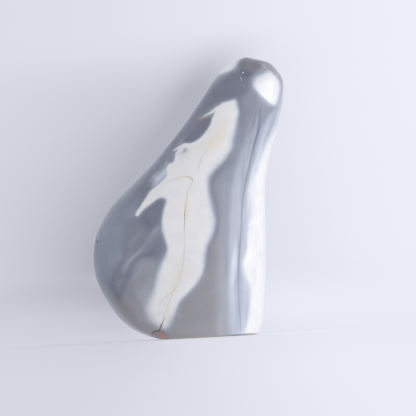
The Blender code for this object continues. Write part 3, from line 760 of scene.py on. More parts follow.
BACK_DEEP_AREAS = [
    (0.6, [(216, 84, 2.0), (232, 88, 2.0), (248, 84, 2.0), (262, 78, 2.0), (268, 92, 2.0), (258, 104, 2.0), (242, 106, 1.6), (234, 122, 1.4), (222, 136, 1.8), (210, 150, 1.8), (202, 160, 2.2), (196, 112, 2.2)]),
    (0.5, [(170, 214, 2.0), (188, 194, 1.6), (203, 194, 0.8), (204, 206, 0.8), (198, 220, 1.0), (186, 232, 1.2), (170, 238, 1.6), (160, 230, 2.0)]),
    (0.45, [(170, 250, 1.6), (186, 246, 0.9), (197, 252, 0.8), (196, 264, 0.8), (192, 278, 1.0), (180, 290, 1.2), (170, 284, 2.0), (164, 266, 2.0)]),
]
BACK_DEEP = [
    [(243, 150, 0.8, 0.1), (244, 162, 1.0, 0.4), (242, 176, 1.1, 0.5), (238, 188, 1.1, 0.5), (236, 200, 0.9, 0.4), (238, 214, 0.9, 0.36), (240, 230, 0.9, 0.4),
     (238, 246, 1.0, 0.45), (234, 260, 1.0, 0.45), (232, 272, 0.9, 0.4), (234, 288, 0.9, 0.36), (236, 306, 0.9, 0.3), (234, 340, 0.9, 0.3)],
    [(126, 290, 0.5, 0.1), (133, 278, 0.55, 0.36), (141, 264, 0.55, 0.34), (151, 252, 0.5, 0.1)],
    [(146, 300, 0.5, 0.1), (149, 286, 0.6, 0.36), (155, 272, 0.6, 0.3), (163, 258, 0.5, 0.1)],
]
BACK_WARM_AREAS = [
    (0.7, [(238, 57, 1.0), (252, 56, 1.0), (264, 60, 1.0), (271, 67, 1.0), (264, 73, 1.4), (250, 71, 1.4)]),
    (0.7, [(112, 290, 2.2), (126, 304, 2.4), (142, 314, 2.2), (160, 322, 2.4), (182, 326, 2.0), (194, 342, 1.6), (150, 344, 1.8), (116, 316, 2.0)]),
    (0.6, [(184, 299, 0.8), (192, 305, 0.8), (196, 316, 0.8), (193, 330, 1.2), (180, 330, 1.6), (172, 312, 1.8)]),
]
BACK_COOL_AREAS = [
    (0.8, [(94, 240, 2.5), (104, 232, 3.0), (118, 238, 3.0), (124, 256, 3.0), (118, 274, 3.0), (102, 280, 2.5)]),
    (0.5, [(134, 200, 2.5), (150, 186, 2.5), (160, 190, 2.0), (150, 202, 2.0), (138, 216, 2.5), (124, 222, 2.5)]),
]
BACK_TAN = [
    [(226, 106, 0.8, 0.2), (218, 117, 1.1, 0.45), (210, 130, 1.1, 0.45), (202, 142, 0.8, 0.25)],
    [(226, 176, 0.6, 0.2), (220, 192, 0.9, 0.55), (219.6, 208, 1.0, 0.6), (222, 222, 0.8, 0.4), (219, 236, 0.6, 0.2)],
    [(212, 258, 0.6, 0.2), (212, 274, 0.9, 0.5), (214, 292, 1.1, 0.6), (211, 306, 1.0, 0.5), (208, 320, 0.7, 0.3)],
    [(203, 276, 0.13, 0.4), (211, 277.6, 0.13, 0.5), (220, 276.4, 0.13, 0.4)],
]
BACK_RUST = [
    [(220, 198, 0.13, 0.4), (219.4, 203, 0.17, 0.8), (220, 208, 0.13, 0.4)],
    [(157, 253, 0.2, 0.5), (160, 249.6, 0.2, 0.6)],
    [(214, 300, 0.18, 0.6)], [(213, 304, 0.2, 0.7)], [(209, 318, 0.16, 0.5)], [(218.6, 239, 0.2, 0.6)],
    [(206.4, 334, 0.3, 0.7), (206, 340, 0.4, 0.9)],
    [(200, 144, 0.14, 0.5), (196, 148.6, 0.14, 0.4)],
]
BACK_BROWN_AREAS = [
    (0.8, [(203, 334.4, 0.3), (206, 331, 0.25), (209.4, 334.6, 0.3), (210.4, 342, 0.35), (202, 342, 0.35)]),
]
BACK_CLOUD = [
    [(195, 228.6, 0.7, 0.5), (197.4, 225.6, 0.6, 0.4)],
    [(231, 210, 1.2, 0.2), (233, 226, 1.2, 0.2), (231, 240, 1.2, 0.2)],
    [(226, 292, 1.4, 0.2), (227, 308, 1.4, 0.2), (224, 324, 1.2, 0.2)],
    [(268, 190, 1.4, 0.16), (267, 210, 1.4, 0.2), (266, 232, 1.2, 0.14)],
]
BACK_CLOUD_AREAS = [
    (0.26, [(207, 186, 0.5), (213, 180, 0.6), (219, 172, 0.7), (222, 176, 0.9), (216, 188, 0.9), (211, 196, 0.7)]),
]

# A stained crack that runs over the head's right edge: height and half width in mm, strength
EDGE_CRACK = [(118.6, 0.2, 0.1), (115.0, 0.5, 0.8), (110.0, 0.5, 1.0), (105.0, 0.24, 0.5), (99.0, 0.12, 0.3), (92.0, 0.08, 0.1)]

# Pits left by the polish: side, u, v, radius and depth in mm, and how pale the bottom is
PITS = (
    ("front", 243.0, 72.3, 0.50, 0.30, 0.9),
    ("front", 240.7, 77.0, 0.42, 0.20, 0.4),
    ("front", 241.3, 78.7, 0.46, 0.22, 0.55),
    ("front", 241.9, 80.6, 0.40, 0.18, 0.4),
    ("front", 97.6, 241.6, 0.62, 0.26, -1.0),
    ("front", 153.0, 334.2, 0.34, 0.16, -0.8),
    ("back", 262.0, 92.4, 0.44, 0.26, 0.5),
    ("back", 259.6, 94.6, 0.32, 0.18, 0.2),
    ("back", 131.0, 222.0, 0.40, 0.22, -0.8),
    ("back", 240.0, 318.0, 0.38, 0.20, -0.5),
)


def smooth(lo, hi, x):
    t = np.clip((x - lo) / (hi - lo), 0, 1)
    return t * t * (3 - 2 * t)


def depth_share(points):
    """How far each point is from the edge plane between front and back, as a share of the swell there. Front is negative."""
    _, y, z = points.T
    lats = latitude(np.clip(z, 0, HEIGHT))
    y0 = edge_depth(lats) + DEPTH_SHIFT
    return (y - y0) / np.maximum(np.where(y < y0, front_swell(lats), back_swell(lats)), 2.0)


def fields(points):
    """Every field of the markings, at the stone's points in millimetres."""
    share = depth_share(points)
    back = smooth(0.05, 0.55, share)
    pu, pv = to_sheet(*points.T)
    # on the flanks the drawing wavers with depth, so that no edge runs straight from front to back; less so on the narrow head
    y, z = points[:, 1], points[:, 2]
    flank = smooth(-0.42, -0.08, share) * (1 - smooth(0.45, 0.9, share)) * (1 - 0.85 * smooth(100, 112, z))
    pv = pv + flank * (6.0 * np.sin(0.33 * y + 0.8) + 3.2 * np.sin(0.87 * y + 2.1 + 0.05 * z))
    pu = pu + flank * (2.4 * np.sin(0.41 * y + 0.11 * z) + 1.2 * np.sin(0.9 * y - 0.2 * z + 1.0))
    sheet = Sheet(pu, pv)

    def both(front, rear):
        return np.clip(front * (1 - back) + rear * back, 0, 1)

    f_d, f_s = sheet.zones(FRONT_WHITE)
    b_d, b_s = sheet.zones(BACK_WHITE)
    haze_and_sheen = both(sheet.strokes(FRONT_HAZE_AND_SHEEN) + sheet.washes(FRONT_HAZE_AREAS), sheet.strokes(BACK_HAZE) + sheet.washes(BACK_HAZE_AREAS))
    deep = both(sheet.strokes(FRONT_DEEP_AND_SHADE) + sheet.washes(FRONT_DEEP_AREAS), sheet.strokes(BACK_DEEP) + sheet.washes(BACK_DEEP_AREAS))
    warm = both(sheet.washes(FRONT_WARM_AREAS), sheet.washes(BACK_WARM_AREAS))
    cool = both(sheet.washes(FRONT_COOL_AREAS), sheet.washes(BACK_COOL_AREAS))
    tan = both(sheet.strokes(FRONT_TAN), sheet.strokes(BACK_TAN))
    cloud_and_shade = both(sheet.strokes(FRONT_CLOUD_AND_SHADE) + sheet.washes(FRONT_CLOUD_AREAS), sheet.strokes(BACK_CLOUD) + sheet.washes(BACK_CLOUD_AREAS))
    rust = both(sheet.strokes(FRONT_RUST), sheet.strokes(BACK_RUST))
    brown = both(sheet.washes(FRONT_BROWN_AREAS), sheet.washes(BACK_BROWN_AREAS))
    made = {
        "zone": np.stack([f_d * (1 - back) + b_d * back, f_s * (1 - back) + b_s * back, share], 1),
        "tone": np.stack([haze_and_sheen, deep, warm], 1),
        "tint": np.stack([cool, tan, cloud_and_shade], 1),
        "iron": np.stack([rust, brown, np.zeros_like(rust)], 1),
        "edge_crack": edge_crack(points, sheet),
    }
    near_back = share > 0.3
    for name, front, rear in (
        ("fracture_a", FRONT_FRACTURE_A, BACK_FRACTURE_A),
        ("fracture_b", FRONT_FRACTURE_B, BACK_FRACTURE_B),
        ("fracture_c", FRONT_FRACTURE_C, BACK_FRACTURE_C),
        ("fracture_d", FRONT_FRACTURE_D, BACK_FRACTURE_D),
        ("hairline", FRONT_HAIRLINE, BACK_HAIRLINE),
        ("vein_a", FRONT_VEINS[0], BACK_VEINS[0]),
        ("vein_b", FRONT_VEINS[1], BACK_VEINS[1]),
    ):
        f, b = sheet.fracture(front), sheet.fracture(rear)
        made[name] = np.stack([np.where(near_back, b[i], f[i]) for i in range(3)], 1)
    return made


def edge_crack(points, sheet):
    """The crack over the head's right edge: its signed distance and half width in mm, and its strength."""
    x, y, z = points.T
    heights = [row[0] for row in reversed(EDGE_CRACK)]
    half, strength = (np.interp(z, heights, [row[i] for row in reversed(EDGE_CRACK)], left=0, right=0) for i in (1, 2))
    on_right = x > (left_edge(latitude(np.clip(z, 0, HEIGHT))) + right_edge(latitude(np.clip(z, 0, HEIGHT)))) / 2
    path = DEPTH_SHIFT - 3.4 + 0.7 * np.sin(0.31 * z + 0.6) + 0.25 * np.sin(0.83 * z)
    return np.stack([np.clip(y - path, -6, 6), half, strength * on_right], 1)


def dent(points, normals):
    """Sinks the pits into the skin. Returns the moved points, and for each its distance to the nearest pit in
    pit radii and how pale that pit is."""
    pu, pv = to_sheet(*points.T)
    share = depth_share(points)
    moved = points.copy()
    nearest = np.full(len(points), 4.0)
    pale = np.zeros(len(points))
    for side, u, v, radius, depth, paleness in PITS:
        right_side = share < 0 if side == "front" else share > 0
        off = np.hypot(pu - u, pv - v) + np.where(right_side, 0, 1e6)
        centre = points[int(np.argmin(off))]
        r = np.linalg.norm(points - centre, axis=1) / radius
        moved -= normals * (depth * np.exp(-((r / 0.8) ** 4)))[:, None]
        closer = r < nearest
        nearest = np.where(closer, r, nearest)
        pale = np.where(closer, paleness, pale)
    return moved, nearest, pale


def build_stone():
    points, quads, triangles = stone_points()
    mesh = bpy.data.meshes.new("agate_stone")
    mesh.from_pydata((points * MM).tolist(), [], quads.tolist() + triangles.tolist())
    mesh.validate()

    # finer faces round each pit
    pu, pv = to_sheet(*points.T)
    share = depth_share(points)
    shape = bmesh.new()
    shape.from_mesh(mesh)
    shape.verts.ensure_lookup_table()
    chosen = set()
    for side, u, v, radius, _, _ in PITS:
        right_side = share < 0 if side == "front" else share > 0
        centre = points[int(np.argmin(np.hypot(pu - u, pv - v) + np.where(right_side, 0, 1e6)))]
        close = np.nonzero(np.linalg.norm(points - centre, axis=1) < 2.2 * radius)[0]
        for i in close:
            chosen.update(edge.index for edge in shape.verts[int(i)].link_edges)
    shape.edges.ensure_lookup_table()
    bmesh.ops.subdivide_edges(shape, edges=[shape.edges[i] for i in sorted(chosen)], cuts=3, use_grid_fill=True)
    shape.normal_update()
    shape.to_mesh(mesh)
    shape.free()

    count = len(mesh.vertices)
    flat = np.empty(count * 3, np.float32)
    mesh.vertices.foreach_get("co", flat)
    points = flat.reshape(-1, 3).astype(float) / MM
    mesh.vertices.foreach_get("normal", flat)
    normals = flat.reshape(-1, 3).astype(float)
    made = fields(points)
    points, nearest, pale = dent(points, normals)
    made["pit"] = np.stack([nearest, pale, np.zeros(count)], 1)
    mesh.vertices.foreach_set("co", (points * MM).astype(np.float32).ravel())
    mesh.update()
    mesh.shade_smooth()
    for name, values in made.items():
        attribute = mesh.attributes.new(name, "FLOAT_VECTOR", "POINT")
        attribute.data.foreach_set("vector", values.astype(np.float32).ravel())
    stone = bpy.data.objects.new("agate_stone", mesh)
    bpy.context.scene.collection.objects.link(stone)
    return stone


# --------------------------------------------------------------------------
# The material
# --------------------------------------------------------------------------


class Nodes:
    """A short way to write node trees. Every call returns an output socket."""

    def __init__(self, tree):
        self.tree = tree

    def put(self, kind, **settings):
        node = self.tree.nodes.new(kind)
        for key, value in settings.items():
            setattr(node, key, value)
        return node

    def feed(self, socket, value):
        if isinstance(value, bpy.types.NodeSocket):
            self.tree.links.new(value, socket)
        else:
            socket.default_value = value

    def maths(self, operation, a, b=None, c=None, clamp=False):
        node = self.put("ShaderNodeMath", operation=operation, use_clamp=clamp)
        for i, value in enumerate((a, b, c)):
            if value is not None:
                self.feed(node.inputs[i], value)
        return node.outputs[0]

    def ramp(self, value, lo, hi, to_lo=0.0, to_hi=1.0, kind="SMOOTHSTEP"):
        node = self.put("ShaderNodeMapRange", interpolation_type=kind)
        for name, v in (("Value", value), ("From Min", lo), ("From Max", hi), ("To Min", to_lo), ("To Max", to_hi)):
            self.feed(node.inputs[name], v)
        return node.outputs["Result"]

    def attribute(self, name):
        node = self.put("ShaderNodeAttribute", attribute_name=name)
        split = self.put("ShaderNodeSeparateXYZ")
        self.tree.links.new(node.outputs["Vector"], split.inputs[0])
        return split.outputs[0], split.outputs[1], split.outputs[2]

    def noise(self, vector, scale, detail=3.0, roughness=0.5, distortion=0.0):
        node = self.put("ShaderNodeTexNoise")
        self.feed(node.inputs["Vector"], vector)
        self.feed(node.inputs["Scale"], scale)
        self.feed(node.inputs["Detail"], detail)
        self.feed(node.inputs["Roughness"], roughness)
        self.feed(node.inputs["Distortion"], distortion)
        return node.outputs["Fac"]

    def mix(self, factor, a, b, blend="MIX"):
        node = self.put("ShaderNodeMix", data_type="RGBA", blend_type=blend, clamp_factor=True)
        self.feed(node.inputs["Factor"], factor)
        self.feed([s for s in node.inputs if s.name == "A" and s.type == "RGBA"][0], a)
        self.feed([s for s in node.inputs if s.name == "B" and s.type == "RGBA"][0], b)
        return [s for s in node.outputs if s.type == "RGBA"][0]


def rgb(r, g, b):
    """A colour given as it shows on a screen, 0 to 255, as linear values."""

    def lin(c):
        c /= 255
        return c / 12.92 if c <= 0.04045 else ((c + 0.055) / 1.055) ** 2.4

    return (lin(r), lin(g), lin(b), 1.0)


def polished_agate():
    material = bpy.data.materials.new("polished_agate")
    material.use_nodes = True
    tree = material.node_tree
    tree.nodes.clear()
    n = Nodes(tree)
    shader = n.put("ShaderNodeBsdfPrincipled")
    out = n.put("ShaderNodeOutputMaterial")
    tree.links.new(shader.outputs[0], out.inputs["Surface"])
    where = n.put("ShaderNodeTexCoord").outputs["Object"]
    scaled = n.put("ShaderNodeVectorMath", operation="SCALE")
    n.feed(scaled.inputs[0], where)
    scaled.inputs["Scale"].default_value = 1000.0
    mm = scaled.outputs[0]          # the place in millimetres
    split = n.put("ShaderNodeSeparateXYZ")
    n.feed(split.inputs[0], mm)
    height = split.outputs[2]

    distance, softness, depth = n.attribute("zone")
    haze_and_sheen, deep, warm = n.attribute("tone")
    cool, tan, cloud_and_shade = n.attribute("tint")
    rust, brown, _ = n.attribute("iron")
    hair_d, hair_half, hair_strength = n.attribute("hairline")
    pit, pit_pale, _ = n.attribute("pit")

    broad = n.noise(mm, 0.05, 3.0, 0.55)
    drift = n.noise(mm, 0.17, 4.0, 0.6)
    fine = n.noise(mm, 0.9, 5.0, 0.62)
    grain = n.noise(mm, 3.2, 3.0, 0.6)

    # edges of the white: the crisp ones are finely toothed, the soft ones drift
    teeth = n.maths("MULTIPLY", n.maths("SUBTRACT", fine, 0.5), 0.55)
    sway = n.maths("MULTIPLY", n.maths("SUBTRACT", drift, 0.5), softness)
    moved = n.maths("ADD", n.maths("ADD", distance, teeth), n.maths("MULTIPLY", sway, 0.8))
    edge = n.maths("DIVIDE", moved, softness)
    white = n.ramp(edge, -1.0, 1.0)
    for name in ("vein_a", "vein_b"):
        d, half, strength = n.attribute(name)
        vein = n.ramp(n.maths("SUBTRACT", n.maths("ABSOLUTE", d), half), -0.2, 0.3, 1.0, 0.0)
        white = n.maths("MAXIMUM", white, n.maths("MULTIPLY", vein, strength))

    # the grey: fine bands run along the hairline and round the white
    bands = n.put("ShaderNodeCombineXYZ")
    n.feed(bands.inputs[0], n.maths("MULTIPLY", hair_d, 1.5))
    n.feed(bands.inputs[1], n.maths("MULTIPLY", height, 0.035))
    n.feed(bands.inputs[2], drift)
    streaks = n.noise(bands.outputs[0], 1.0, 3.0, 0.6)
    rings = n.put("ShaderNodeCombineXYZ")
    n.feed(rings.inputs[0], n.maths("MULTIPLY", moved, 0.5))
    n.feed(rings.inputs[1], n.maths("MULTIPLY", height, 0.02))
    n.feed(rings.inputs[2], n.maths("MULTIPLY", broad, 1.5))
    contours = n.noise(rings.outputs[0], 1.0, 3.0, 0.6)
    near_hair = n.ramp(n.maths("ABSOLUTE", hair_d), 3.0, 5.8, 1.0, 0.0)
    banding = n.maths("ADD", n.maths("MULTIPLY", n.maths("SUBTRACT", contours, 0.5), 0.5),
                      n.maths("MULTIPLY", n.maths("MULTIPLY", n.maths("SUBTRACT", streaks, 0.5), near_hair), 0.4))
    level = n.maths("ADD", n.maths("ADD", broad, n.maths("MULTIPLY", n.maths("SUBTRACT", drift, 0.5), 0.5)), banding)
    colour = n.mix(n.ramp(level, 0.1, 0.95, kind="LINEAR"), (0.220, 0.243, 0.305, 1), (0.305, 0.330, 0.392, 1))
    colour = n.mix(n.maths("MULTIPLY", warm, n.ramp(fine, 0.25, 0.75, 0.7, 1.0)), colour, (0.325, 0.303, 0.310, 1))
    colour = n.mix(n.maths("MULTIPLY", cool, 0.75), colour, (0.246, 0.292, 0.376, 1))
    # deep darkens the grey: clearer stone, and in a few strokes painted shade
    colour = n.mix(n.maths("MULTIPLY", deep, n.ramp(drift, 0.2, 0.8, 0.75, 1.0)), colour, (0.140, 0.150, 0.208, 1))
    halo = n.maths("MULTIPLY", n.ramp(edge, -3.0, -0.3), 0.14)
    # the haze strokes carry painted highlight as well as milky stone
    milk_and_sheen = n.maths("MAXIMUM", n.maths("MULTIPLY", haze_and_sheen, n.ramp(streaks, 0.25, 0.75, 0.92, 1.06)), halo)
    # faint curved wisps, on the flanks and the back
    tilt = n.put("ShaderNodeVectorMath", operation="DOT_PRODUCT")
    n.feed(tilt.inputs[0], mm)
    tilt.inputs[1].default_value = (0.055, 0.115, 0.040)
    phase = n.maths("ADD", tilt.outputs["Value"], n.maths("MULTIPLY", broad, 7.0))
    wave = n.maths("SINE", n.maths("MULTIPLY", phase, 2.4))
    wisp = n.maths("MULTIPLY", n.ramp(wave, 0.55, 1.0), n.ramp(drift, 0.42, 0.66))
    wisp = n.maths("MULTIPLY", wisp, n.ramp(depth, -0.55, 0.0, 0.03, 0.24))
    milk_and_sheen = n.maths("ADD", milk_and_sheen, wisp, clamp=True)
    colour = n.mix(milk_and_sheen, colour, (0.620, 0.672, 0.790, 1))

    # the hairline, dark and bluish with soft sides
    hair = n.ramp(n.maths("DIVIDE", n.maths("ABSOLUTE", hair_d), hair_half), 0.2, 1.7, 1.0, 0.0)
    hair = n.maths("MULTIPLY", n.maths("MULTIPLY", hair, hair_strength), 0.85)
    colour = n.mix(hair, colour, (0.120, 0.150, 0.245, 1))

    # the white: bluish where it thins out at its edges
    inner = n.mix(n.ramp(drift, 0.3, 0.7), (0.790, 0.790, 0.805, 1), (0.835, 0.828, 0.830, 1))
    thin = n.ramp(n.maths("ADD", edge, n.maths("MULTIPLY", n.maths("SUBTRACT", drift, 0.5), 1.4)), 0.2, 2.0)
    veil = n.ramp(n.noise(mm, 0.11, 4.0, 0.6), 0.52, 0.72, 0.0, 0.16)
    pale = n.mix(thin, (0.690, 0.725, 0.790, 1), n.mix(veil, inner, (0.560, 0.600, 0.690, 1)))
    pale = n.mix(n.maths("MULTIPLY", tan, n.ramp(fine, 0.25, 0.75, 0.6, 1.1)), pale, (0.800, 0.700, 0.560, 1))
    pale = n.mix(n.maths("MULTIPLY", cloud_and_shade, n.ramp(fine, 0.25, 0.75, 0.75, 1.1)), pale, (0.360, 0.410, 0.520, 1))
    colour = n.mix(white, colour, pale)

    # fractures, stained by iron
    crack_all = open_all = None
    for name in ("fracture_a", "fracture_b", "fracture_c", "fracture_d", "edge_crack"):
        d, half, strength = n.attribute(name)
        jitter = n.maths("MULTIPLY", n.maths("SUBTRACT", n.noise(mm, 1.4, 4.0, 0.65), 0.5), 0.8)
        off = n.maths("ABSOLUTE", n.maths("ADD", d, jitter))
        crack = n.maths("MULTIPLY", n.ramp(n.maths("SUBTRACT", off, half), -0.06, 0.12, 1.0, 0.0), strength)
        crack = n.maths("MULTIPLY", crack, n.ramp(drift, 0.3, 0.6, 0.55, 1.0))
        open_crack = n.maths("MULTIPLY", n.ramp(n.maths("SUBTRACT", off, half), -0.1, 0.1, 1.0, 0.0), n.ramp(strength, 1.0, 1.3, 0.0, 0.75))
        open_all = open_crack if open_all is None else n.maths("MAXIMUM", open_all, open_crack)
        bleed = n.maths("MULTIPLY", n.maths("MULTIPLY", n.ramp(off, 0.0, 1.3, 1.0, 0.0), strength), n.ramp(fine, 0.35, 0.75, 0.02, 0.3))
        colour = n.mix(bleed, colour, (0.700, 0.560, 0.420, 1))
        crack_all = crack if crack_all is None else n.maths("MAXIMUM", crack_all, crack)
    stain = n.mix(n.ramp(fine, 0.35, 0.65), (0.210, 0.165, 0.155, 1), (0.390, 0.285, 0.215, 1))
    colour = n.mix(n.maths("MULTIPLY", crack_all, 0.85), colour, stain)
    colour = n.mix(n.maths("MULTIPLY", brown, n.ramp(grain, 0.3, 0.7, 0.8, 1.0)), colour, (0.280, 0.205, 0.215, 1))
    colour = n.mix(n.maths("MULTIPLY", rust, n.ramp(fine, 0.25, 0.7, 0.75, 1.0)), colour, (0.640, 0.240, 0.100, 1))
    colour = n.mix(open_all, colour, (0.070, 0.062, 0.072, 1))

    # pits: a dark lip round a pale or a dark bottom
    lip = n.maths("MULTIPLY", n.ramp(pit, 0.5, 0.9), n.ramp(pit, 1.0, 1.6, 1.0, 0.0))
    colour = n.mix(n.maths("MULTIPLY", lip, 0.5), colour, (0.110, 0.105, 0.135, 1))
    bottom = n.ramp(pit, 0.45, 0.95, 1.0, 0.0)
    colour = n.mix(n.maths("MULTIPLY", bottom, n.ramp(pit_pale, 0.0, 1.0)), colour, (0.880, 0.860, 0.870, 1))
    colour = n.mix(n.maths("MULTIPLY", bottom, n.ramp(pit_pale, -1.0, 0.0, 1.0, 0.0)), colour, (0.150, 0.080, 0.070, 1))

    # the sawn base is ground, and its darker colour runs a little way up the polished wall as a painted line of shade
    # along the foot, darkest towards the right
    ground_and_rim_shade = n.ramp(height, 0.45, 1.0, 1.0, 0.0)
    swirl = n.put("ShaderNodeTexWave", wave_type="RINGS", rings_direction="Z")
    n.feed(swirl.inputs["Vector"], mm)
    swirl.inputs["Scale"].default_value = 0.22
    swirl.inputs["Distortion"].default_value = 1.5
    swirl.inputs["Detail"].default_value = 2.0
    sawn = n.mix(n.ramp(grain, 0.3, 0.7), (0.330, 0.290, 0.265, 1), (0.460, 0.420, 0.395, 1))
    # painted shade that darkens the base colour between 11 and 26 mm to the right
    painted_base_shade = n.maths("MULTIPLY", n.ramp(split.outputs[0], 11.0, 18.0), n.ramp(split.outputs[0], 20.5, 26.5, 1.0, 0.2))
    sawn = n.mix(n.maths("MULTIPLY", painted_base_shade, 0.8), sawn, (0.175, 0.165, 0.175, 1))
    # how much of the painted shade line shows, less over the chip's brown and rust
    rim_shade_cover = n.maths("MULTIPLY", n.ramp(fine, 0.3, 0.7, 0.6, 0.8), n.ramp(split.outputs[0], 23.0, 27.0, 1.0, 0.6))
    rim_shade_cover = n.maths("MULTIPLY", rim_shade_cover, n.maths("MULTIPLY_ADD", n.maths("MAXIMUM", brown, rust, clamp=True), -0.75, 1.0))
    colour = n.mix(n.maths("MULTIPLY", ground_and_rim_shade, n.maths("MULTIPLY_ADD", painted_base_shade, 0.15, rim_shade_cover)), colour, sawn)
    tree.links.new(colour, shader.inputs["Base Color"])

    rough = n.ramp(fine, 0.25, 0.75, 0.10, 0.16, "LINEAR")
    rough = n.maths("ADD", rough, n.maths("MULTIPLY", crack_all, 0.3))
    rough = n.maths("ADD", rough, n.maths("MULTIPLY", n.maths("ADD", brown, rust), 0.15))
    rough = n.maths("ADD", rough, n.maths("MULTIPLY", ground_and_rim_shade, 0.38), clamp=True)
    tree.links.new(rough, shader.inputs["Roughness"])

    # the polish: a faint orange peel, sunken cracks, saw marks underneath
    relief = n.maths("MULTIPLY", n.noise(mm, 0.35, 3.0, 0.5), 0.35)
    relief = n.maths("ADD", relief, n.maths("MULTIPLY", grain, 0.012))
    relief = n.maths("SUBTRACT", relief, n.maths("MULTIPLY", crack_all, 0.22))
    relief = n.maths("SUBTRACT", relief, n.maths("MULTIPLY", rust, 0.06))
    relief = n.maths("ADD", relief, n.maths("MULTIPLY", ground_and_rim_shade, n.maths("MULTIPLY", n.maths("ADD", swirl.outputs["Fac"], grain), 0.12)))
    bump = n.put("ShaderNodeBump")
    bump.inputs["Strength"].default_value = 1.0
    bump.inputs["Distance"].default_value = 0.00004
    n.feed(bump.inputs["Height"], relief)
    tree.links.new(bump.outputs[0], shader.inputs["Normal"])
    shader.inputs["IOR"].default_value = 1.54
    return material


# --------------------------------------------------------------------------
# Floor, light and camera
# --------------------------------------------------------------------------


def link(obj):
    bpy.context.scene.collection.objects.link(obj)
    return obj


def studio():
    """A pale floor that curves up all round into a seamless backdrop."""
    deep = CAMERA_MM / 1000.0    # the room is as deep as the camera is far
    radius, bend, top = 1.9, 0.7, 2.6
    profile = [(0.0, 0.0), (0.1, 0.0), (0.25, 0.0), (0.6, 0.0), (radius - bend, 0.0)]
    for i in range(1, 17):
        a = math.pi / 2 * i / 16
        profile.append((radius - bend + bend * math.sin(a), bend - bend * math.cos(a)))
    profile.append((radius, top * deep))
    profile = [(r * deep, z) for r, z in profile]
    spokes = 96
    verts = [(0, 0, 0)]
    faces = []
    for r, z in profile[1:]:
        for k in range(spokes):
            a = 2 * math.pi * k / spokes
            verts.append((r * math.cos(a), r * math.sin(a), z))
    for k in range(spokes):
        faces.append((0, 1 + k, 1 + (k + 1) % spokes))
    for i in range(len(profile) - 2):
        for k in range(spokes):
            a, b = 1 + i * spokes, 1 + (i + 1) * spokes
            j = (k + 1) % spokes
            faces.append((a + k, b + k, b + j, a + j))
    mesh = bpy.data.meshes.new("studio_floor")
    mesh.from_pydata(verts, [], faces)
    mesh.shade_smooth()
    floor = link(bpy.data.objects.new("studio_floor", mesh))
    floor.location.z = -0.0001
    material = bpy.data.materials.new("studio_paper")
    material.use_nodes = True
    n = Nodes(material.node_tree)
    shader = material.node_tree.nodes["Principled BSDF"]
    # painted shade on the paper: darker towards the left, and darkest in a painted shadow beside the stone's long left
    # edge
    room = n.put("ShaderNodeVectorMath", operation="MULTIPLY")
    n.feed(room.inputs[0], n.put("ShaderNodeTexCoord").outputs["Object"])
    room.inputs[1].default_value = (1.0, 1.0 / deep, 1.0)
    where = room.outputs["Vector"]
    split = n.put("ShaderNodeSeparateXYZ")
    n.feed(split.inputs[0], where)
    side, back, rise = split.outputs
    shade = n.ramp(back, 0.3, 1.2)
    far = n.ramp(n.maths("ABSOLUTE", back), 0.3, 1.2)
    # painted shade: a soft gradient, darker towards the left, on the floor and on the wall
    on_floor = n.maths("MULTIPLY", n.ramp(side, -0.045, 0.065, 0.45, 0.05), n.maths("SUBTRACT", 1.0, far))
    on_floor = n.maths("ADD", on_floor, n.maths("MULTIPLY", n.ramp(side, 0.05, 0.14, 0.06, 0.0), n.maths("MULTIPLY", n.ramp(back, 0.15, 0.6), n.maths("SUBTRACT", 1.0, far))))
    on_wall = n.maths("MULTIPLY", n.ramp(side, -0.25, 0.28, 0.34, 0.02), far)
    # a painted shadow on the backdrop, falling off with the distance from a slanting line
    slant = n.put("ShaderNodeVectorMath", operation="DOT_PRODUCT")
    n.feed(slant.inputs[0], where)
    slant.inputs[1].default_value = (-0.85, 0.0, 0.527)
    away = n.maths("SMOOTH_MAX", n.maths("SUBTRACT", slant.outputs["Value"], 0.112), n.maths("SUBTRACT", -0.110, side), 0.04)
    painted_shadow_pool = n.maths("MULTIPLY", n.maths("EXPONENT", n.maths("MULTIPLY", n.maths("MAXIMUM", away, 0.0), -10.8)), 0.77)
    painted_shadow_pool = n.maths("MULTIPLY", painted_shadow_pool, n.ramp(away, -0.07, -0.01))
    painted_shadow_pool = n.maths("MULTIPLY", painted_shadow_pool, n.ramp(rise, 0.185, 0.275, 1.0, 0.0))
    painted_shadow_pool = n.maths("MULTIPLY", painted_shadow_pool, n.ramp(back, 0.4, 1.4))
    # the painted shadow is thinner beside the head
    thinner = n.maths("MULTIPLY", n.ramp(rise, 0.125, 0.22, 0.0, 0.32), n.ramp(away, 0.0, 0.13, 1.0, 0.0))
    thinner = n.maths("MULTIPLY", thinner, n.ramp(away, -0.01, 0.03, 0.2, 1.0))
    painted_shadow_pool = n.maths("MULTIPLY", painted_shadow_pool, n.maths("SUBTRACT", 1.0, thinner))
    # a painted shadow on the floor, from a line that runs back from the stone's foot
    gone = n.maths("SUBTRACT", n.maths("MULTIPLY_ADD", back, -0.0605, -0.033), side)
    foot = n.maths("MULTIPLY", n.maths("EXPONENT", n.maths("MULTIPLY", n.maths("MAXIMUM", gone, 0.0), -16.0)), 0.775)
    foot = n.maths("MULTIPLY", foot, n.ramp(gone, -0.06, -0.02))
    foot = n.maths("MULTIPLY", foot, n.ramp(back, 0.02, 0.75, kind="LINEAR"))
    foot = n.maths("MULTIPLY", foot, n.maths("SUBTRACT", 1.0, shade))
    # a faint painted shade above and right of the head
    halo = n.maths("MULTIPLY", n.ramp(side, 0.04, 0.19, 0.12, 0.0), n.ramp(rise, 0.215, 0.285, 1.0, 0.0))
    halo = n.maths("MULTIPLY", halo, n.maths("MULTIPLY", shade, n.ramp(side, -0.06, 0.03)))
    painted_paper_shade = n.maths("ADD", on_floor, on_wall)
    painted_paper_shade = n.maths("ADD", painted_paper_shade, painted_shadow_pool)
    painted_paper_shade = n.maths("ADD", painted_paper_shade, foot)
    painted_paper_shade = n.maths("ADD", painted_paper_shade, halo)
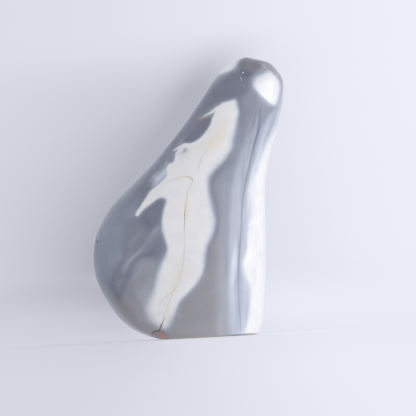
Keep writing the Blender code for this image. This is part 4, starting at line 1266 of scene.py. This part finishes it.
    # a little painted shade on the floor right of the stone's foot
    spread = n.put("ShaderNodeVectorMath", operation="LENGTH")
    n.feed(spread.inputs[0], where)
    painted_paper_shade = n.maths("ADD", painted_paper_shade, n.maths("MULTIPLY", n.ramp(spread.outputs["Value"], 0.03, 0.24, 0.06, 0.0), n.ramp(side, -0.01, 0.04)))
    # the painted shade deepens softly towards the stone's foot
    near = n.maths("MULTIPLY", n.maths("EXPONENT", n.maths("MULTIPLY", n.maths("MAXIMUM", gone, 0.0), -20.0)), n.ramp(gone, -0.035, 0.0))
    near = n.maths("MULTIPLY", near, n.maths("MULTIPLY", n.ramp(back, -0.28, 0.03, 0.0, 0.105), n.ramp(back, 0.12, 0.32, 1.0, 0.0)))
    # and a painted light strip evens out the thin line of real contact shade where the floor passes under the belly
    gap = n.maths("MULTIPLY", n.ramp(back, -0.014, 0.0), n.ramp(back, 0.002, 0.020, 1.0, 0.0))
    gap = n.maths("MULTIPLY", n.maths("MULTIPLY", gap, 0.125), n.ramp(side, -0.062, -0.018))
    gap = n.maths("MULTIPLY", gap, n.ramp(side, -0.01, 0.01, 1.0, 0.0))
    painted_paper_shade = n.maths("ADD", painted_paper_shade, n.maths("SUBTRACT", near, gap), clamp=True)
    # the paper glows as well as being lit, and the painted shade darkens both its colour and its glow
    light_paper = n.mix(n.noise(where, 3.0, 2.0), (0.765, 0.780, 0.850, 1), (0.785, 0.800, 0.870, 1))
    material.node_tree.links.new(n.mix(painted_paper_shade, light_paper, (0.500, 0.500, 0.550, 1)), shader.inputs["Base Color"])
    material.node_tree.links.new(n.mix(painted_paper_shade, (0.912, 0.906, 1.0, 1), (0.375, 0.375, 0.450, 1)), shader.inputs["Emission Color"])
    shader.inputs["Roughness"].default_value = 0.9
    shader.inputs["Specular IOR Level"].default_value = 0.0
    shader.inputs["Emission Strength"].default_value = 0.466
    mesh.materials.append(material)
    floor.visible_shadow = False
    floor.visible_diffuse = False
    return floor


def softbox(name, place, target, width, height, radiance, colour):
    data = bpy.data.lights.new(name, "AREA")
    data.shape = "RECTANGLE"
    data.size, data.size_y = width, height
    data.energy = radiance * math.pi * width * height
    data.color = colour
    lamp = link(bpy.data.objects.new(name, data))
    lamp.location = place
    lamp.rotation_euler = (Vector(target) - Vector(place)).to_track_quat("-Z", "Y").to_euler()
    lamp.visible_camera = False
    return lamp


def light(stone):
    world = bpy.data.worlds.new("studio_air")
    bpy.context.scene.world = world
    world.use_nodes = True
    back = world.node_tree.nodes["Background"]
    back.inputs["Color"].default_value = (0.95, 0.96, 1.0, 1)
    back.inputs["Strength"].default_value = 0.58
    middle = Vector((0.0, 0.0, 0.06))
    a = math.radians(57)
    towards = Vector((math.sin(a), -math.cos(a), 0.0))
    # one tall diffuser with soft edges: panels one behind the other, the nearest the smallest
    lit = bpy.data.collections.new("lit_by_key")
    lit.objects.link(stone)
    for i in range(6):
        width = 0.68 + 0.10 * i
        lamp = softbox(f"key_{i}", middle + towards * (0.90 + 0.03 * i), middle, width, 1.0 + 0.13 * i, 0.352, (1.0, 0.995, 1.0))
        lamp.light_linking.receiver_collection = lit
    # a weak fill from the lower left
    fill = softbox("fill", Vector((-0.80, -0.55, -0.28)), middle, 0.9, 0.9, 0.45, (0.97, 0.98, 1.0))
    fill.light_linking.receiver_collection = lit
    # and a soft light from over its left shoulder
    high = softbox("high", middle + Vector((-0.78, 0.20, 0.75)), middle, 1.0, 1.0, 1.05, (0.98, 0.985, 1.0))
    high.light_linking.receiver_collection = lit
    high.visible_glossy = False


def camera():
    data = bpy.data.cameras.new("view")
    data.sensor_width = 36.0
    data.lens = 36.0 * CAMERA_MM / (FRAME_PX * PX_MM)
    data.clip_start, data.clip_end = 0.01, 20.0
    cam = link(bpy.data.objects.new("view", data))
    cam.matrix_world = Matrix(
        (
            (COS, SIN, 0.0, AIM_X * MM),
            (0.0, 0.0, -1.0, -CAMERA_MM * MM),
            (-SIN, COS, 0.0, AIM_Z * MM),
            (0.0, 0.0, 0.0, 1.0),
        )
    )
    bpy.context.scene.camera = cam
    return cam


stone = build_stone()
stone.data.materials.append(polished_agate())
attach(stone, "root")
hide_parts("agate_freeform")
studio()
light(stone)
camera()
view = bpy.context.scene.view_settings
view.view_transform = "Standard"
view.look = "None"
